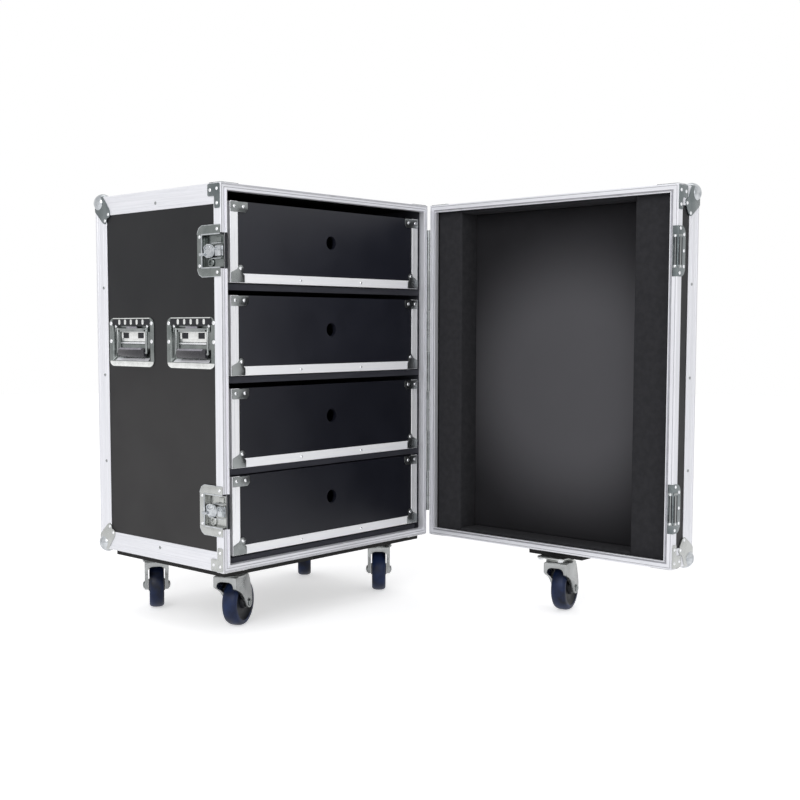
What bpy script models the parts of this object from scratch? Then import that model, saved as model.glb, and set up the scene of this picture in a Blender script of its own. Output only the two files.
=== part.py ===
# Flight case for wireless microphones: a drawer case on castors with a deep hinged door.
# Metres, +Z up. The origin is the centre of the underside of the castor board.
# X runs to the right as seen from the front, Y runs to the back. The door stands open at rest.
# Door pieces are drawn as if the door were shut, relative to the hinge pin, and turned open.

import math

import bmesh
import bpy
from mathutils import Matrix, Vector

# Outer size of the body over its aluminium, and of the door
CASE_WIDTH = 0.630
CASE_DEPTH = 0.418
CASE_HEIGHT = 0.770
DOOR_DEPTH = 0.089
DOOR_OPEN = math.radians(90)

# Sheet and board thicknesses, and the gap that touching pieces keep
BOARD = 0.012
PLY = 0.0095
SKIN = 0.0017
PLATE = 0.0012
GAP = 0.0003

# Aluminium profiles of the body and of the door
EDGING = 0.041
FRAME_FLANGE = 0.0205
FRAME_FACE = 0.002
FRAME_WIDTH = 0.0148
FRAME_INNER_DEPTH = 0.012
TONGUE_INSET = 0.0115
TONGUE_HEIGHT = 0.003
DOOR_FLANGE = 0.018
GROOVE_INSET = 0.011
GROOVE_DEPTH = 0.0026
RIDGE_INSET, RIDGE_END = 0.0152, 0.0168
RIDGE_HEIGHT = 0.0023
DOOR_INNER_DEPTH = 0.014
DOOR_WINDOW_END = 0.0425

LEFT, RIGHT = -CASE_WIDTH / 2, CASE_WIDTH / 2
FRONT, REAR = -CASE_DEPTH / 2, CASE_DEPTH / 2
BOTTOM, TOP = BOARD, BOARD + CASE_HEIGHT
PANEL_OUT = SKIN + GAP
PANEL_IN = PANEL_OUT + PLY
BOX_INSET = PANEL_IN + GAP

# Hinge pin, just outside the right side and halfway across the parting gap
PARTING = 0.001
PIN_OUT = 0.004
PIN_X, PIN_Y = RIGHT + PIN_OUT, FRONT - PARTING / 2
HINGE_ENDS = (BOTTOM + 0.056, BOTTOM + 0.714)
KNUCKLES = 7
KNUCKLE_GAP = 0.0004
KNUCKLE_RADIUS = 0.0032
PIN_RADIUS = 0.0012
LEAF_WIDTH = 0.022

# The door when shut, relative to the hinge pin
DOOR_NEAR = -PIN_OUT
DOOR_FAR = DOOR_NEAR - CASE_WIDTH
MATING = -PARTING / 2
DOOR_SKIN = MATING - DOOR_DEPTH

# Ball corners, corner plates and braces
BALL_RADIUS = 0.015
BALL_INSET = 0.009
RIVET_RADIUS = 0.0032
RIVET_HEIGHT = 0.0012
KITE = (
    (0.0005, 0.0005), (0.040, 0.0005), (0.062, 0.028), (0.066, 0.038), (0.058, 0.046), (0.049, 0.049),
    (0.046, 0.058), (0.038, 0.066), (0.028, 0.062), (0.0005, 0.040),
)
DOOR_KITE = (
    (0.0005, 0.0005), (0.041, 0.0005), (0.043, 0.048), (0.034, 0.070), (0.020, 0.070), (0.0005, 0.040),
)
SMALL_KITE = ((0.0005, 0.0005), (0.036, 0.0005), (0.036, 0.012), (0.012, 0.036), (0.0005, 0.036))
BRACE = (
    (0.0015, 0.0015), (0.041, 0.0015), (0.041, 0.026), (0.018, 0.026), (0.018, 0.067), (0.0015, 0.067),
)
SHORT_BRACE = (
    (0.0015, 0.0015), (0.041, 0.0015), (0.041, 0.026), (0.018, 0.026), (0.018, 0.052), (0.0015, 0.052),
)
STRIP_BRACE = ((0.0015, 0.0015), (0.013, 0.0015), (0.013, 0.067), (0.0015, 0.067))

# Handles, two on each side
DISH_LENGTH, DISH_HEIGHT, DISH_CORNER = 0.156, 0.104, 0.014
TUB_LENGTH, TUB_HEIGHT = 0.132, 0.080
TUB_FLOOR = 0.0085
HANDLE_YS = {"front": FRONT + 0.095, "rear": FRONT + 0.295}
HANDLE_Z = BOTTOM + 0.457
BAIL_RISE = 0.028
BAIL_DROP = 0.050
BAIL_INSET = 0.0026
BAIL_HALF = 0.050
BAIL_WIRE = 0.0025
GRIP_RADIUS, GRIP_TALL = 0.0056, 1.7
RIB_STEP, RIB_HALF, RIB_PROUD = 0.021, 0.004, 0.0009
LUG_YS = (0.0535, 0.0585)

# Butterfly latches on the left front edge and their keepers in the door
LATCH_ZS = {"lower": BOTTOM + 0.123, "upper": BOTTOM + 0.638}
LATCH_HEIGHT = 0.100
LATCH_REACH = 0.070
LATCH_TUB_REACH = 0.058
LATCH_TUB_HEIGHT = 0.064
NOTCH_HEIGHT = 0.070
NOTCH_INSET = 0.0102
LATCH_FLOOR = 0.0084
WING_PIVOT = 0.036
WING_RADIUS, WING_WAIST = 0.017, 0.0105
KEEPER_REACH = 0.042
HOOK_INSETS = (0.0052, 0.0077)
HOOK_HALF = 0.010
HOOK_REACH = 0.0255
HOOK_SLOT = (0.0046, 0.0083)
HOOK_SLOT_DEPTH = 0.0095

# Drawers: undersides above the shell's bottom, from the lowest up
DRAWER_FLOORS = (0.0303, 0.2065, 0.3917, 0.5767)
DRAWER_INSET = 0.029
DRAWER_HEIGHT = 0.160
DRAWER_SIDE_HEIGHT = 0.130
DRAWER_LENGTH = 0.385
DRAWER_SETBACK = 0.005
DRAWER_WALL = 0.009
TRIM_LEG, TRIM_LOW_LEG = 0.020, 0.0185
TRIM_SHEET = 0.0016
TRIM_RETURN = 0.019
FINGER_HOLE_RADIUS = 0.0145
FINGER_HOLE_RISE = 0.0915
TOP_BRACKET = (0.0456, 0.021)
LOW_BRACKET = (0.036, 0.035)
SHELF_TOPS = (0.205, 0.3895, 0.5745)
SHELF = 0.0125

# Slides: four channels on a carrier board on each side, and a rail on each drawer
CARRIER_INSETS = (BOX_INSET, 0.016)
CARRIER_FRONT = 0.0126
SLIDE_RISE = 0.070
CHANNEL_HALF, RAIL_HALF = 0.0175, 0.014
CHANNEL_END, RAIL_INSET = 0.0275, 0.0235

# Castors: plate, swivelling fork and a 100 mm wheel, 128 mm high in all
CASTOR_HEIGHT = 0.128
WHEEL_RADIUS = 0.050
CASTOR_TRAIL = 0.033
PLATE_SIZE = (0.090, 0.066)
PLATE_SHEET, PLATE_CORNER = 0.003, 0.008
AXLE_Z = WHEEL_RADIUS - CASTOR_HEIGHT
BOARD_INSETS = (0.015, 0.015, 0.040)
BOARD_SCREW_XS, BOARD_SCREW_YS = (-0.150, 0.150), (-0.150, -0.013, 0.125)
BOARD_SCREW_RADIUS = 0.0025
DOOR_BOARD_DEPTHS = (0.0155, 0.0775)
DOOR_BOARD_REACH = (0.280, 0.416)
DOOR_CASTOR = (-0.345, -0.040)
# Kingpin position and the heading from it to the axle, in degrees from +X towards +Y
CASTORS = {
    "front_left": (LEFT + 0.088, FRONT + 0.080, 23),
    "front_right": (LEFT + 0.548, FRONT + 0.078, 42),
    "rear_left": (LEFT + 0.082, FRONT + 0.325, 53),
    "rear_right": (LEFT + 0.548, FRONT + 0.330, 45),
}

ALUMINIUM = ((0.82, 0.83, 0.85), 1.0, 0.35)
ZINC = ((0.62, 0.64, 0.64), 1.0, 0.35)
CHROME = ((0.75, 0.77, 0.78), 1.0, 0.2)
LAMINATE = ((0.045, 0.045, 0.048), 0.0, 0.55)
DARK_BOARD = ((0.03, 0.03, 0.03), 0.0, 0.7)
FOAM = ((0.04, 0.04, 0.042), 0.0, 0.95)
WHEEL_BLUE = ((0.03, 0.045, 0.09), 0.0, 0.5)


def clear_scene():
    for obj in list(bpy.data.objects):
        bpy.data.objects.remove(obj, do_unlink=True)


# Shapes: each function returns a bmesh that holds closed shells

def box(x0, x1, y0, y1, z0, z1):
    shape = bmesh.new()
    size = Vector((abs(x1 - x0), abs(y1 - y0), abs(z1 - z0)))
    centre = Vector((x0 + x1, y0 + y1, z0 + z1)) / 2
    matrix = Matrix.Translation(centre) @ Matrix.Diagonal((*size, 1))
    bmesh.ops.create_cube(shape, size=1, matrix=matrix)
    return shape


def rod(start, end, radius, sides=12, end_radius=None):
    shape = bmesh.new()
    start, end = Vector(start), Vector(end)
    along = end - start
    turn = along.to_track_quat("Z", "Y").to_matrix().to_4x4()
    matrix = Matrix.Translation((start + end) / 2) @ turn
    bmesh.ops.create_cone(
        shape, cap_ends=True, segments=sides, radius1=radius,
        radius2=radius if end_radius is None else end_radius, depth=along.length, matrix=matrix,
    )
    return shape


def ball(centre, radius, sides=12, rings=7):
    shape = bmesh.new()
    place_at = Matrix.Translation(centre) @ Matrix.Rotation(0.1, 4, "X")
    bmesh.ops.create_uvsphere(shape, u_segments=sides, v_segments=rings, radius=radius, matrix=place_at)
    return shape


def rounded(a0, a1, b0, b1, radius, steps=2):
    # The outline of a rectangle with rounded corners
    left, right, low, high = a0 + radius, a1 - radius, b0 + radius, b1 - radius
    centres = ((right, high), (left, high), (left, low), (right, low))
    points = []
    for quarter, (a, b) in enumerate(centres):
        for k in range(steps + 1):
            angle = math.pi / 2 * (quarter + k / steps)
            points.append((a + radius * math.cos(angle), b + radius * math.sin(angle)))
    return points


def rounded_end(start, end, half, radius=0.012):
    # An outline that is square at its start and has rounded corners at its end
    cut_back = radius * 0.3
    return [
        (start, -half), (end - radius, -half), (end - cut_back, -half + cut_back), (end, -half + radius),
        (end, half - radius), (end - cut_back, half - cut_back), (end - radius, half), (start, half),
    ]


def slab(low, high):
    # The solid between two matching outlines
    shape = bmesh.new()
    near = [shape.verts.new(point) for point in low]
    far = [shape.verts.new(point) for point in high]
    shape.faces.new(near)
    shape.faces.new(far)
    for i in range(len(near)):
        j = (i + 1) % len(near)
        shape.faces.new((near[i], near[j], far[j], far[i]))
    bmesh.ops.recalc_face_normals(shape, faces=shape.faces)
    return shape


def side_plate(x0, x1, outline, y, z, way=1):
    # A plate square to X, from an outline of (y, z) points about the given place
    points = [(y + way * a, z + b) for a, b in outline]
    return slab([(x0, *point) for point in points], [(x1, *point) for point in points])


def mitred_frame(profile, x0, x1, z0, z1):
    # A closed profile of (inset, y) points run round the rectangle, with mitred corners
    shape = bmesh.new()
    loops = []
    for inset, y in profile:
        corners = ((x0 + inset, z0 + inset), (x1 - inset, z0 + inset),
                   (x1 - inset, z1 - inset), (x0 + inset, z1 - inset))
        loops.append([shape.verts.new((x, y, z)) for x, z in corners])
    for near, far in zip(loops, loops[1:] + loops[:1]):
        for i in range(4):
            j = (i + 1) % 4
            shape.faces.new((near[i], near[j], far[j], far[i]))
    bmesh.ops.recalc_face_normals(shape, faces=shape.faces)
    return shape


def wheel_of(profile, sides=18):
    # A closed profile of (radius, width) points turned about the Y axis
    shape = bmesh.new()
    rings = []
    for k in range(sides):
        angle = 2 * math.pi * k / sides
        c, s = math.cos(angle), math.sin(angle)
        rings.append([shape.verts.new((r * c, w, r * s)) for r, w in profile])
    for here, there in zip(rings, rings[1:] + rings[:1]):
        for i in range(len(profile)):
            j = (i + 1) % len(profile)
            shape.faces.new((here[i], here[j], there[j], there[i]))
    bmesh.ops.recalc_face_normals(shape, faces=shape.faces)
    return shape


def merged(shapes):
    whole = bmesh.new()
    for shape in shapes:
        held = bpy.data.meshes.new("held")
        shape.to_mesh(held)
        shape.free()
        whole.from_mesh(held)
        bpy.data.meshes.remove(held)
    return whole


def turned(shape, degrees):
    matrix = Matrix.Rotation(math.radians(degrees), 4, "Z")
    bmesh.ops.transform(shape, verts=shape.verts, matrix=matrix)
    return shape


# Objects

def material(name, look):
    colour, metallic, roughness = look
    made = bpy.data.materials.new(name)
    made.use_nodes = True
    shader = made.node_tree.nodes["Principled BSDF"]
    shader.inputs["Base Color"].default_value = (*colour, 1)
    shader.inputs["Metallic"].default_value = metallic
    shader.inputs["Roughness"].default_value = roughness
    made.diffuse_color = (*colour, 1)
    return made


def place(name, shape, parent, location):
    mesh = bpy.data.meshes.new(name)
    shape.to_mesh(mesh)
    shape.free()
    obj = bpy.data.objects.new(name, mesh)
    bpy.context.scene.collection.objects.link(obj)
    obj.location = location
    obj.parent = parent
    return obj


def part(name, shape, look, parent=None, location=(0, 0, 0), smooth=False):
    obj = place(name, shape, parent, location)
    obj.data.materials.append(material(name, look))
    if smooth:
        obj.data.shade_smooth()
        obj.data.set_sharp_from_angle(angle=math.radians(35))
    return obj


def combine(obj, shapes, operation, crossing):
    helper_name = f"{obj.name}_{operation.lower()}_{len(obj.modifiers)}"
    helper = place(helper_name, merged(shapes), obj.parent, obj.location)
    helper.hide_render = True
    helper.display_type = "WIRE"
    step = obj.modifiers.new(operation.title(), "BOOLEAN")
    step.operation = operation
    step.solver = "EXACT"
    step.use_self = crossing
    step.object = helper


def cut(obj, shapes):
    combine(obj, shapes, "DIFFERENCE", crossing=False)


def join(obj, shapes):
    combine(obj, shapes, "UNION", crossing=True)


def empty(name, location, turn):
    obj = bpy.data.objects.new(name, None)
    bpy.context.scene.collection.objects.link(obj)
    obj.location = location
    obj.rotation_euler = (0, 0, turn)
    return obj


# Shared details

def rivet(point, outward, radius=RIVET_RADIUS):
    # A flat-topped dome that starts just inside the sheet it holds
    outward = Vector(outward)
    base = Vector(point) - outward * PLATE / 2
    return rod(base, base + outward * (PLATE / 2 + RIVET_HEIGHT), radius, 6, radius * 0.6)


def corner_plate(outline, corner, u, v, out, sink=SKIN / 2):
    # A plate on the face at a corner; u and v point along the face, out away from it
    corner, u, v, out = Vector(corner), Vector(u), Vector(v), Vector(out)
    low = [corner + u * a + v * b - out * sink for a, b in outline]
    high = [corner + u * a + v * b + out * PLATE for a, b in outline]
    return slab(low, high)


def edging(name, parent, y_open, y_end, x0, x1, window_end):
    # Angle edging as one cage over a box that is open at y_open, with balls at its far corners
    back = math.copysign(1, y_end - y_open)
    z0, z1 = BOTTOM, TOP
    cage = part(name, box(x0, x1, y_open, y_end, z0, z1), ALUMINIUM, parent)
    corners = [(x, z) for x in (x0, x1) for z in (z0, z1)]
    inwards = {x0: 1, x1: -1, z0: 1, z1: -1}
    balls = []
    for x, z in corners:
        centre = (x + inwards[x] * BALL_INSET, y_end - back * BALL_INSET, z + inwards[z] * BALL_INSET)
        balls.append(ball(centre, BALL_RADIUS))
    join(cage, balls)
    hollow = box(x0 + SKIN, x1 - SKIN, y_open - back * 0.05, y_end - back * SKIN, z0 + SKIN, z1 - SKIN)
    cut(cage, [hollow])
    side_window = (y_open - back * 0.05, y_end - back * window_end, z0 + EDGING, z1 - EDGING)
    flat_window = (x0 + EDGING, x1 - EDGING, y_open - back * 0.05, y_end - back * window_end)
    deep = 2 * SKIN
    cut(cage, [
        box(x0 - deep, x0 + deep, *side_window),
        box(x1 - deep, x1 + deep, *side_window),
        box(*flat_window, z0 - deep, z0 + deep),
        box(*flat_window, z1 - deep, z1 + deep),
        box(x0 + EDGING, x1 - EDGING, y_end - deep, y_end + deep, z0 + EDGING, z1 - EDGING),
    ])
    return cage


def ball_plates(x0, x1, y_end, back, side, flat_top, flat_bottom):
    # Plates on the three faces at each of the four far corners
    shapes = []
    inwards = {x0: 1, x1: -1, BOTTOM: 1, TOP: -1}
    for x in (x0, x1):
        for z in (BOTTOM, TOP):
            corner = (x, y_end, z)
            sx, sz = inwards[x], inwards[z]
            along_x, along_y, along_z = (sx, 0, 0), (0, -back, 0), (0, 0, sz)
            flat = flat_top if z == TOP else flat_bottom
            shapes.append(corner_plate(side, corner, along_y, along_z, (-sx, 0, 0)))
            shapes.append(corner_plate(flat, corner, along_y, along_x, (0, 0, -sz)))
            shapes.append(corner_plate(KITE, corner, along_x, along_z, (0, back, 0)))
    return shapes


def braces(x0, x1, y, back, hinge_x, flat_bottom):
    # Braces on the sides and flats at the parting corners, each on a short root in the frame's flange
    shapes = []
    inwards = {x0: 1, x1: -1, BOTTOM: 1, TOP: -1}
    for x in (x0, x1):
        for z in (BOTTOM, TOP):
            sx, sz = inwards[x], inwards[z]
            along_x, along_y, along_z = Vector((sx, 0, 0)), Vector((0, back, 0)), Vector((0, 0, sz))
            corner = Vector((x, y, z))
            side = SHORT_BRACE if x == hinge_x else BRACE
            flat = flat_bottom if z == BOTTOM else BRACE
            for pattern, long, out in ((side, along_z, -along_x), (flat, along_x, -along_z)):
                shapes.append(corner_plate(pattern, corner, along_y, long, out, sink=-GAP))
                near = corner + along_y * 0.003 + long * 0.004
                far = corner + along_y * 0.0125 + long * 0.045
                low, high = near - out * SKIN / 2, far + out * PLATE / 2
                shapes.append(box(low.x, high.x, low.y, high.y, low.z, high.z))
    return shapes


# Body

def body_panels():
    front, back = FRONT + FRAME_FACE + GAP, REAR - PANEL_OUT
    low, high = BOTTOM + PANEL_OUT, TOP - PANEL_OUT
    left = part("left_panel", box(LEFT + PANEL_OUT, LEFT + PANEL_IN, front, back, low, high), LAMINATE)
    right = part("right_panel", box(RIGHT - PANEL_IN, RIGHT - PANEL_OUT, front, back, low, high), LAMINATE)
    for panel, x in ((left, LEFT), (right, RIGHT)):
        across = (x - 0.02, x + 0.02)
        length, height = TUB_LENGTH / 2 + GAP, TUB_HEIGHT / 2 + GAP
        holes = [
            box(*across, y - length, y + length, HANDLE_Z - height, HANDLE_Z + height)
            for y in HANDLE_YS.values()
        ]
        if x == LEFT:
            half, reach = LATCH_TUB_HEIGHT / 2 + GAP, FRONT + LATCH_TUB_REACH + GAP
            holes += [box(*across, FRONT - 0.01, reach, z - half, z + half) for z in LATCH_ZS.values()]
        cut(panel, holes)
    inner = (LEFT + BOX_INSET, RIGHT - BOX_INSET)
    part("top_panel", box(*inner, front, back, TOP - PANEL_IN, TOP - PANEL_OUT), LAMINATE)
    part("bottom_panel", box(*inner, front, back, BOTTOM + PANEL_OUT, BOTTOM + PANEL_IN), LAMINATE)
    rear = (REAR - PANEL_IN, REAR - PANEL_OUT, BOTTOM + BOX_INSET, TOP - BOX_INSET)
    part("back_panel", box(*inner, *rear), LAMINATE)


def body_edging():
    start = FRONT + FRAME_FLANGE + GAP
    cage = edging("body_edging", None, start, REAR, LEFT, RIGHT, EDGING)
    join(cage, ball_plates(LEFT, RIGHT, REAR, 1, KITE, KITE, SMALL_KITE))


def body_front_frame():
    flange, face, inner = FRONT + FRAME_FLANGE, FRONT + FRAME_FACE, FRONT + FRAME_INNER_DEPTH
    tip = FRONT - TONGUE_HEIGHT
    profile = (
        (0, FRONT), (TONGUE_INSET, FRONT), (TONGUE_INSET, tip), (FRAME_WIDTH, tip),
        (FRAME_WIDTH, inner), (FRAME_WIDTH - SKIN, inner), (FRAME_WIDTH - SKIN, face),
        (SKIN, face), (SKIN, flange), (0, flange),
    )
    frame = part("body_front_frame", mitred_frame(profile, LEFT, RIGHT, BOTTOM, TOP), ALUMINIUM)
    half = NOTCH_HEIGHT / 2
    cut(frame, [
        box(LEFT - 0.01, LEFT + NOTCH_INSET, FRONT - 0.01, flange + 0.01, z - half, z + half)
        for z in LATCH_ZS.values()
    ])
    join(frame, braces(LEFT, RIGHT, FRONT, 1, RIGHT, STRIP_BRACE))


def boards():
    side, front, rear = BOARD_INSETS
    outline = (LEFT + side, RIGHT - side, FRONT + front, REAR - rear)
    base = part("base_board", box(*outline, 0, BOARD - GAP), DARK_BOARD)
    # Clearance holes for the screws that hold the board to the case
    places = [(x, y) for x in BOARD_SCREW_XS for y in BOARD_SCREW_YS]
    cut(base, [rod((x, y, -0.01), (x, y, BOARD + 0.01), BOARD_SCREW_RADIUS, 6) for x, y in places])
    inset = CARRIER_INSETS[1] + GAP
    for number, top in enumerate(SHELF_TOPS, 1):
        z = BOTTOM + top
        shelf = box(LEFT + inset, RIGHT - inset, FRONT + CARRIER_FRONT, REAR - BOX_INSET, z - SHELF, z)
        part(f"shelf_{number}", shelf, DARK_BOARD)


def slide_carriers():
    for name, x, inwards in (("left", LEFT, 1), ("right", RIGHT, -1)):
        ends = (FRONT + CARRIER_FRONT, REAR - BOX_INSET)
        near, far = (x + inwards * inset for inset in CARRIER_INSETS)
        board = box(near, far, *ends, BOTTOM + BOX_INSET, TOP - BOX_INSET)
        carrier = part(f"slide_carrier_{name}", board, DARK_BOARD)
        web, sheet = far - inwards * 0.001, 0.0015
        tip = x + inwards * CHANNEL_END
        runs = []
        for floor in DRAWER_FLOORS:
            z = BOTTOM + floor + SLIDE_RISE
            low, high = z - CHANNEL_HALF, z + CHANNEL_HALF
            start, stop = ends[0] + 0.002, ends[1] - 0.004
            runs.append(box(web, far + inwards * 0.002, start, stop, low, high))
            runs.append(box(far, tip, start, stop, low, low + sheet))
            runs.append(box(far, tip, start, stop, high - sheet, high))
        join(carrier, runs)


def handle(side, place_name, x, y, inwards):
    # The dish is let into the panel; its bail hangs from two lugs
    name = f"{side}_{place_name}"
    outer, flange = x + inwards * (PANEL_OUT - GAP - PLATE), x + inwards * (PANEL_OUT - GAP)
    half_length, half_height = DISH_LENGTH / 2, DISH_HEIGHT / 2
    z = HANDLE_Z
    start = max(y - half_length, FRONT + FRAME_FLANGE + GAP)
    outline = rounded(start - y, half_length, -half_height, half_height, DISH_CORNER)
    dish = part(f"handle_dish_{name}", side_plate(outer, flange, outline, y, z), ZINC)
    reach, rise = TUB_LENGTH / 2, TUB_HEIGHT / 2
    floor = x + inwards * TUB_FLOOR
    tub = box(outer + inwards * 0.0005, floor + inwards * PLATE, y - reach, y + reach, z - rise, z + rise)
    join(dish, [tub])
    room = box(
        x - inwards * 0.01, floor, y - reach + PLATE, y + reach - PLATE, z - rise + PLATE, z + rise - PLATE
    )
    cut(dish, [room])
    axis_x, axis_z = x + inwards * BAIL_INSET, z + BAIL_RISE
    lugs = []
    for way in (-1, 1):
        near, far = y + way * LUG_YS[0], y + way * LUG_YS[1]
        lugs.append(box(floor + inwards * 0.0006, outer, near, far, axis_z - 0.006, axis_z + 0.006))
    for k in range(-2, 3):
        rib_y = y + k * RIB_STEP
        ribs = (rib_y - RIB_HALF, rib_y + RIB_HALF, z + rise + 0.0005, z + half_height - 0.002)
        lugs.append(box(outer - inwards * RIB_PROUD, flange - inwards * GAP, *ribs))
    join(dish, lugs)
    bore = rod((axis_x, y - 0.0605, axis_z), (axis_x, y + 0.0605, axis_z), BAIL_WIRE - GAP, 10)
    cut(dish, [bore])
    drop = -BAIL_DROP
    grip = rod((0, -BAIL_HALF + 0.0035, 0), (0, BAIL_HALF - 0.0035, 0), GRIP_RADIUS, 14)
    stretch = Matrix.Translation((0, 0, drop)) @ Matrix.Diagonal((1, 1, GRIP_TALL, 1))
    bmesh.ops.transform(grip, verts=grip.verts, matrix=stretch)
    location = (axis_x, y, axis_z)
    bail = part(f"handle_bail_{name}", grip, ZINC, location=location, smooth=True)
    pieces = []
    for way in (-1, 1):
        arm = way * BAIL_HALF
        pieces.append(rod((0, arm, BAIL_WIRE), (0, arm, drop - BAIL_WIRE), BAIL_WIRE, 8))
        pieces.append(rod((0, way * 0.040, drop), (0, arm, drop), BAIL_WIRE * 0.96, 8))
        pieces.append(rod((0, arm, 0), (0, way * 0.0572, 0), BAIL_WIRE - 2 * GAP, 8))
    join(bail, pieces)


def latch(place_name, z):
    # Recessed dish on the left front edge, with guides for the hook
    outer, under = LEFT - GAP - PLATE, LEFT - GAP
    half = LATCH_HEIGHT / 2
    rim = side_plate(outer, under, rounded_end(0.0008, LATCH_REACH, half), FRONT, z)
    dish = part(f"latch_dish_{place_name}", rim, ZINC)
    tub_half = LATCH_TUB_HEIGHT / 2
    behind = FRAME_FLANGE + 2 * GAP
    filler = side_plate(outer + 0.0004, LEFT + SKIN, rounded_end(behind, LATCH_REACH, half), FRONT, z)
    tub = box(
        outer + 0.0006, LEFT + LATCH_FLOOR + PLATE, FRONT + 0.0008, FRONT + LATCH_TUB_REACH,
        z - tub_half, z + tub_half,
    )
    join(dish, [filler, tub])
    cut(dish, [box(
        LEFT - 0.01, LEFT + LATCH_FLOOR, FRONT - 0.01, FRONT + LATCH_TUB_REACH - PLATE,
        z - tub_half + PLATE, z + tub_half - PLATE,
    )])
    fittings = []
    for y, rise in ((0.010, 0.042), (0.063, 0.0285)):
        for way in (-1, 1):
            fittings.append(rivet((outer, FRONT + y, z + way * rise), (-1, 0, 0), 0.0036))
    guide = (LEFT + 0.0045, LEFT + LATCH_FLOOR + 0.0004, FRONT + 0.003, FRONT + 0.024)
    for way in (-1, 1):
        near, far = z + way * (HOOK_HALF + 0.0006), z + way * (HOOK_HALF + 0.003)
        fittings.append(box(*guide, near, far))
    join(dish, fittings)
    latch_wing(place_name, z)
    latch_hook(place_name, z)


def latch_wing(place_name, z):
    # A two-lobed disc with a turned-up thumb rest on each lobe, on a spindle that stands on the floor
    outline = []
    for k in range(12):
        angle = math.pi * k / 6
        radius = WING_WAIST if k % 6 == 0 else WING_RADIUS
        outline.append((radius * math.cos(angle), radius * math.sin(angle)))
    location = (LEFT, FRONT + WING_PIVOT, z)
    disc = side_plate(-0.0008, 0.0012, outline, 0, 0)
    wing = part(f"latch_wing_{place_name}", disc, CHROME, location=location)
    spindle = rod((0.0006, 0, 0), (LATCH_FLOOR - GAP, 0, 0), 0.004, 10)
    rests = [box(-0.0026, -0.0004, -0.006, 0.006, *sorted((way * 0.0115, way * 0.0135))) for way in (-1, 1)]
    join(wing, [spindle, *rests])


def latch_hook(place_name, z):
    near, far = HOOK_INSETS
    hook_box = box(near, far, 0.0012, HOOK_REACH, -HOOK_HALF, HOOK_HALF)
    lip = box(near - 0.0012, near + 0.0005, 0.0022, 0.005, -HOOK_HALF, HOOK_HALF)
    hook = part(f"latch_hook_{place_name}", hook_box, CHROME, location=(LEFT, FRONT, z))
    join(hook, [lip])


# Drawers

def drawer(number, floor):
    x0, x1 = LEFT + DRAWER_INSET, RIGHT - DRAWER_INSET
    z0 = BOTTOM + floor
    z1 = z0 + DRAWER_HEIGHT
    face = FRONT + DRAWER_SETBACK
    inner = TRIM_SHEET + GAP
    front, back = face + inner, face + inner + DRAWER_LENGTH
    outside = box(x0 + inner, x1 - inner, front, back, z0 + inner, z1)
    body = part(f"drawer_box_{number}", outside, DARK_BOARD)
    wall = inner + DRAWER_WALL
    lip = z0 + DRAWER_SIDE_HEIGHT
    cut(body, [box(x0 - 0.01, x1 + 0.01, front + DRAWER_WALL, back + 0.01, lip, z1 + 0.01)])
    cut(body, [box(x0 + wall, x1 - wall, front + DRAWER_WALL, back - DRAWER_WALL, z0 + 0.008, lip + 0.01)])
    hole_z = z0 + FINGER_HOLE_RISE
    cut(body, [rod((0, front - 0.01, hole_z), (0, front + 0.02, hole_z), FINGER_HOLE_RADIUS, 24)])
    rail_z, rail_start = z0 + SLIDE_RISE, face + TRIM_RETURN + 0.003
    rails = []
    for x, inwards in ((LEFT, 1), (RIGHT, -1)):
        outer, root = x + inwards * RAIL_INSET, x + inwards * (DRAWER_INSET + inner + 0.001)
        rails.append(box(outer, root, rail_start, back - 0.002, rail_z - RAIL_HALF, rail_z + RAIL_HALF))
    join(body, rails)

    plate = box(x0, x1, face, face + TRIM_SHEET, z0, z1)
    trim = part(f"drawer_trim_{number}", plate, ALUMINIUM)
    wrap = face + TRIM_RETURN
    join(trim, [
        box(x0, x0 + TRIM_SHEET, face + 0.0005, wrap, z0, z1),
        box(x1 - TRIM_SHEET, x1, face + 0.0005, wrap, z0, z1),
        box(x0 + 0.0005, x1 - 0.0005, face + 0.0005, wrap, z0, z0 + TRIM_SHEET),
    ])
    opening = (x0 + TRIM_LEG, x1 - TRIM_LEG, face - 0.01, wrap + 0.01, z0 + TRIM_LOW_LEG, z1 + 0.01)
    cut(trim, [box(*opening)])
    join(trim, drawer_brackets(x0, x1, z0, z1, face))


def drawer_brackets(x0, x1, z0, z1, face):
    surface, rear = face - PLATE, face + TRIM_SHEET - GAP
    shapes = []
    wide, tall = TOP_BRACKET
    low_wide, low_tall = LOW_BRACKET
    for x, inwards in ((x0, 1), (x1, -1)):
        shapes.append(box(x + inwards * 0.0008, x + inwards * wide, surface, rear, z1 - tall, z1 - 0.0008))
        outline = (
            (0.0008, 0.0008), (low_wide, 0.0008), (low_wide, 0.015), (0.030, 0.020), (0.034, 0.029),
            (0.029, low_tall), (0.022, low_tall), (0.017, 0.027), (0.0008, 0.020),
        )
        low = [(x + inwards * a, rear, z0 + b) for a, b in outline]
        high = [(x + inwards * a, surface, z0 + b) for a, b in outline]
        shapes.append(slab(low, high))
        spots = ((0.010, z1 - 0.010), (0.034, z1 - 0.010), (0.026, z0 + 0.028))
        shapes += [rivet((x + inwards * a, surface, z), (0, -1, 0)) for a, z in spots]
    shapes += [rivet((way * 0.093, face, z0 + 0.0092), (0, -1, 0)) for way in (-1, 1)]
    return shapes


# Hinge and door

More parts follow.
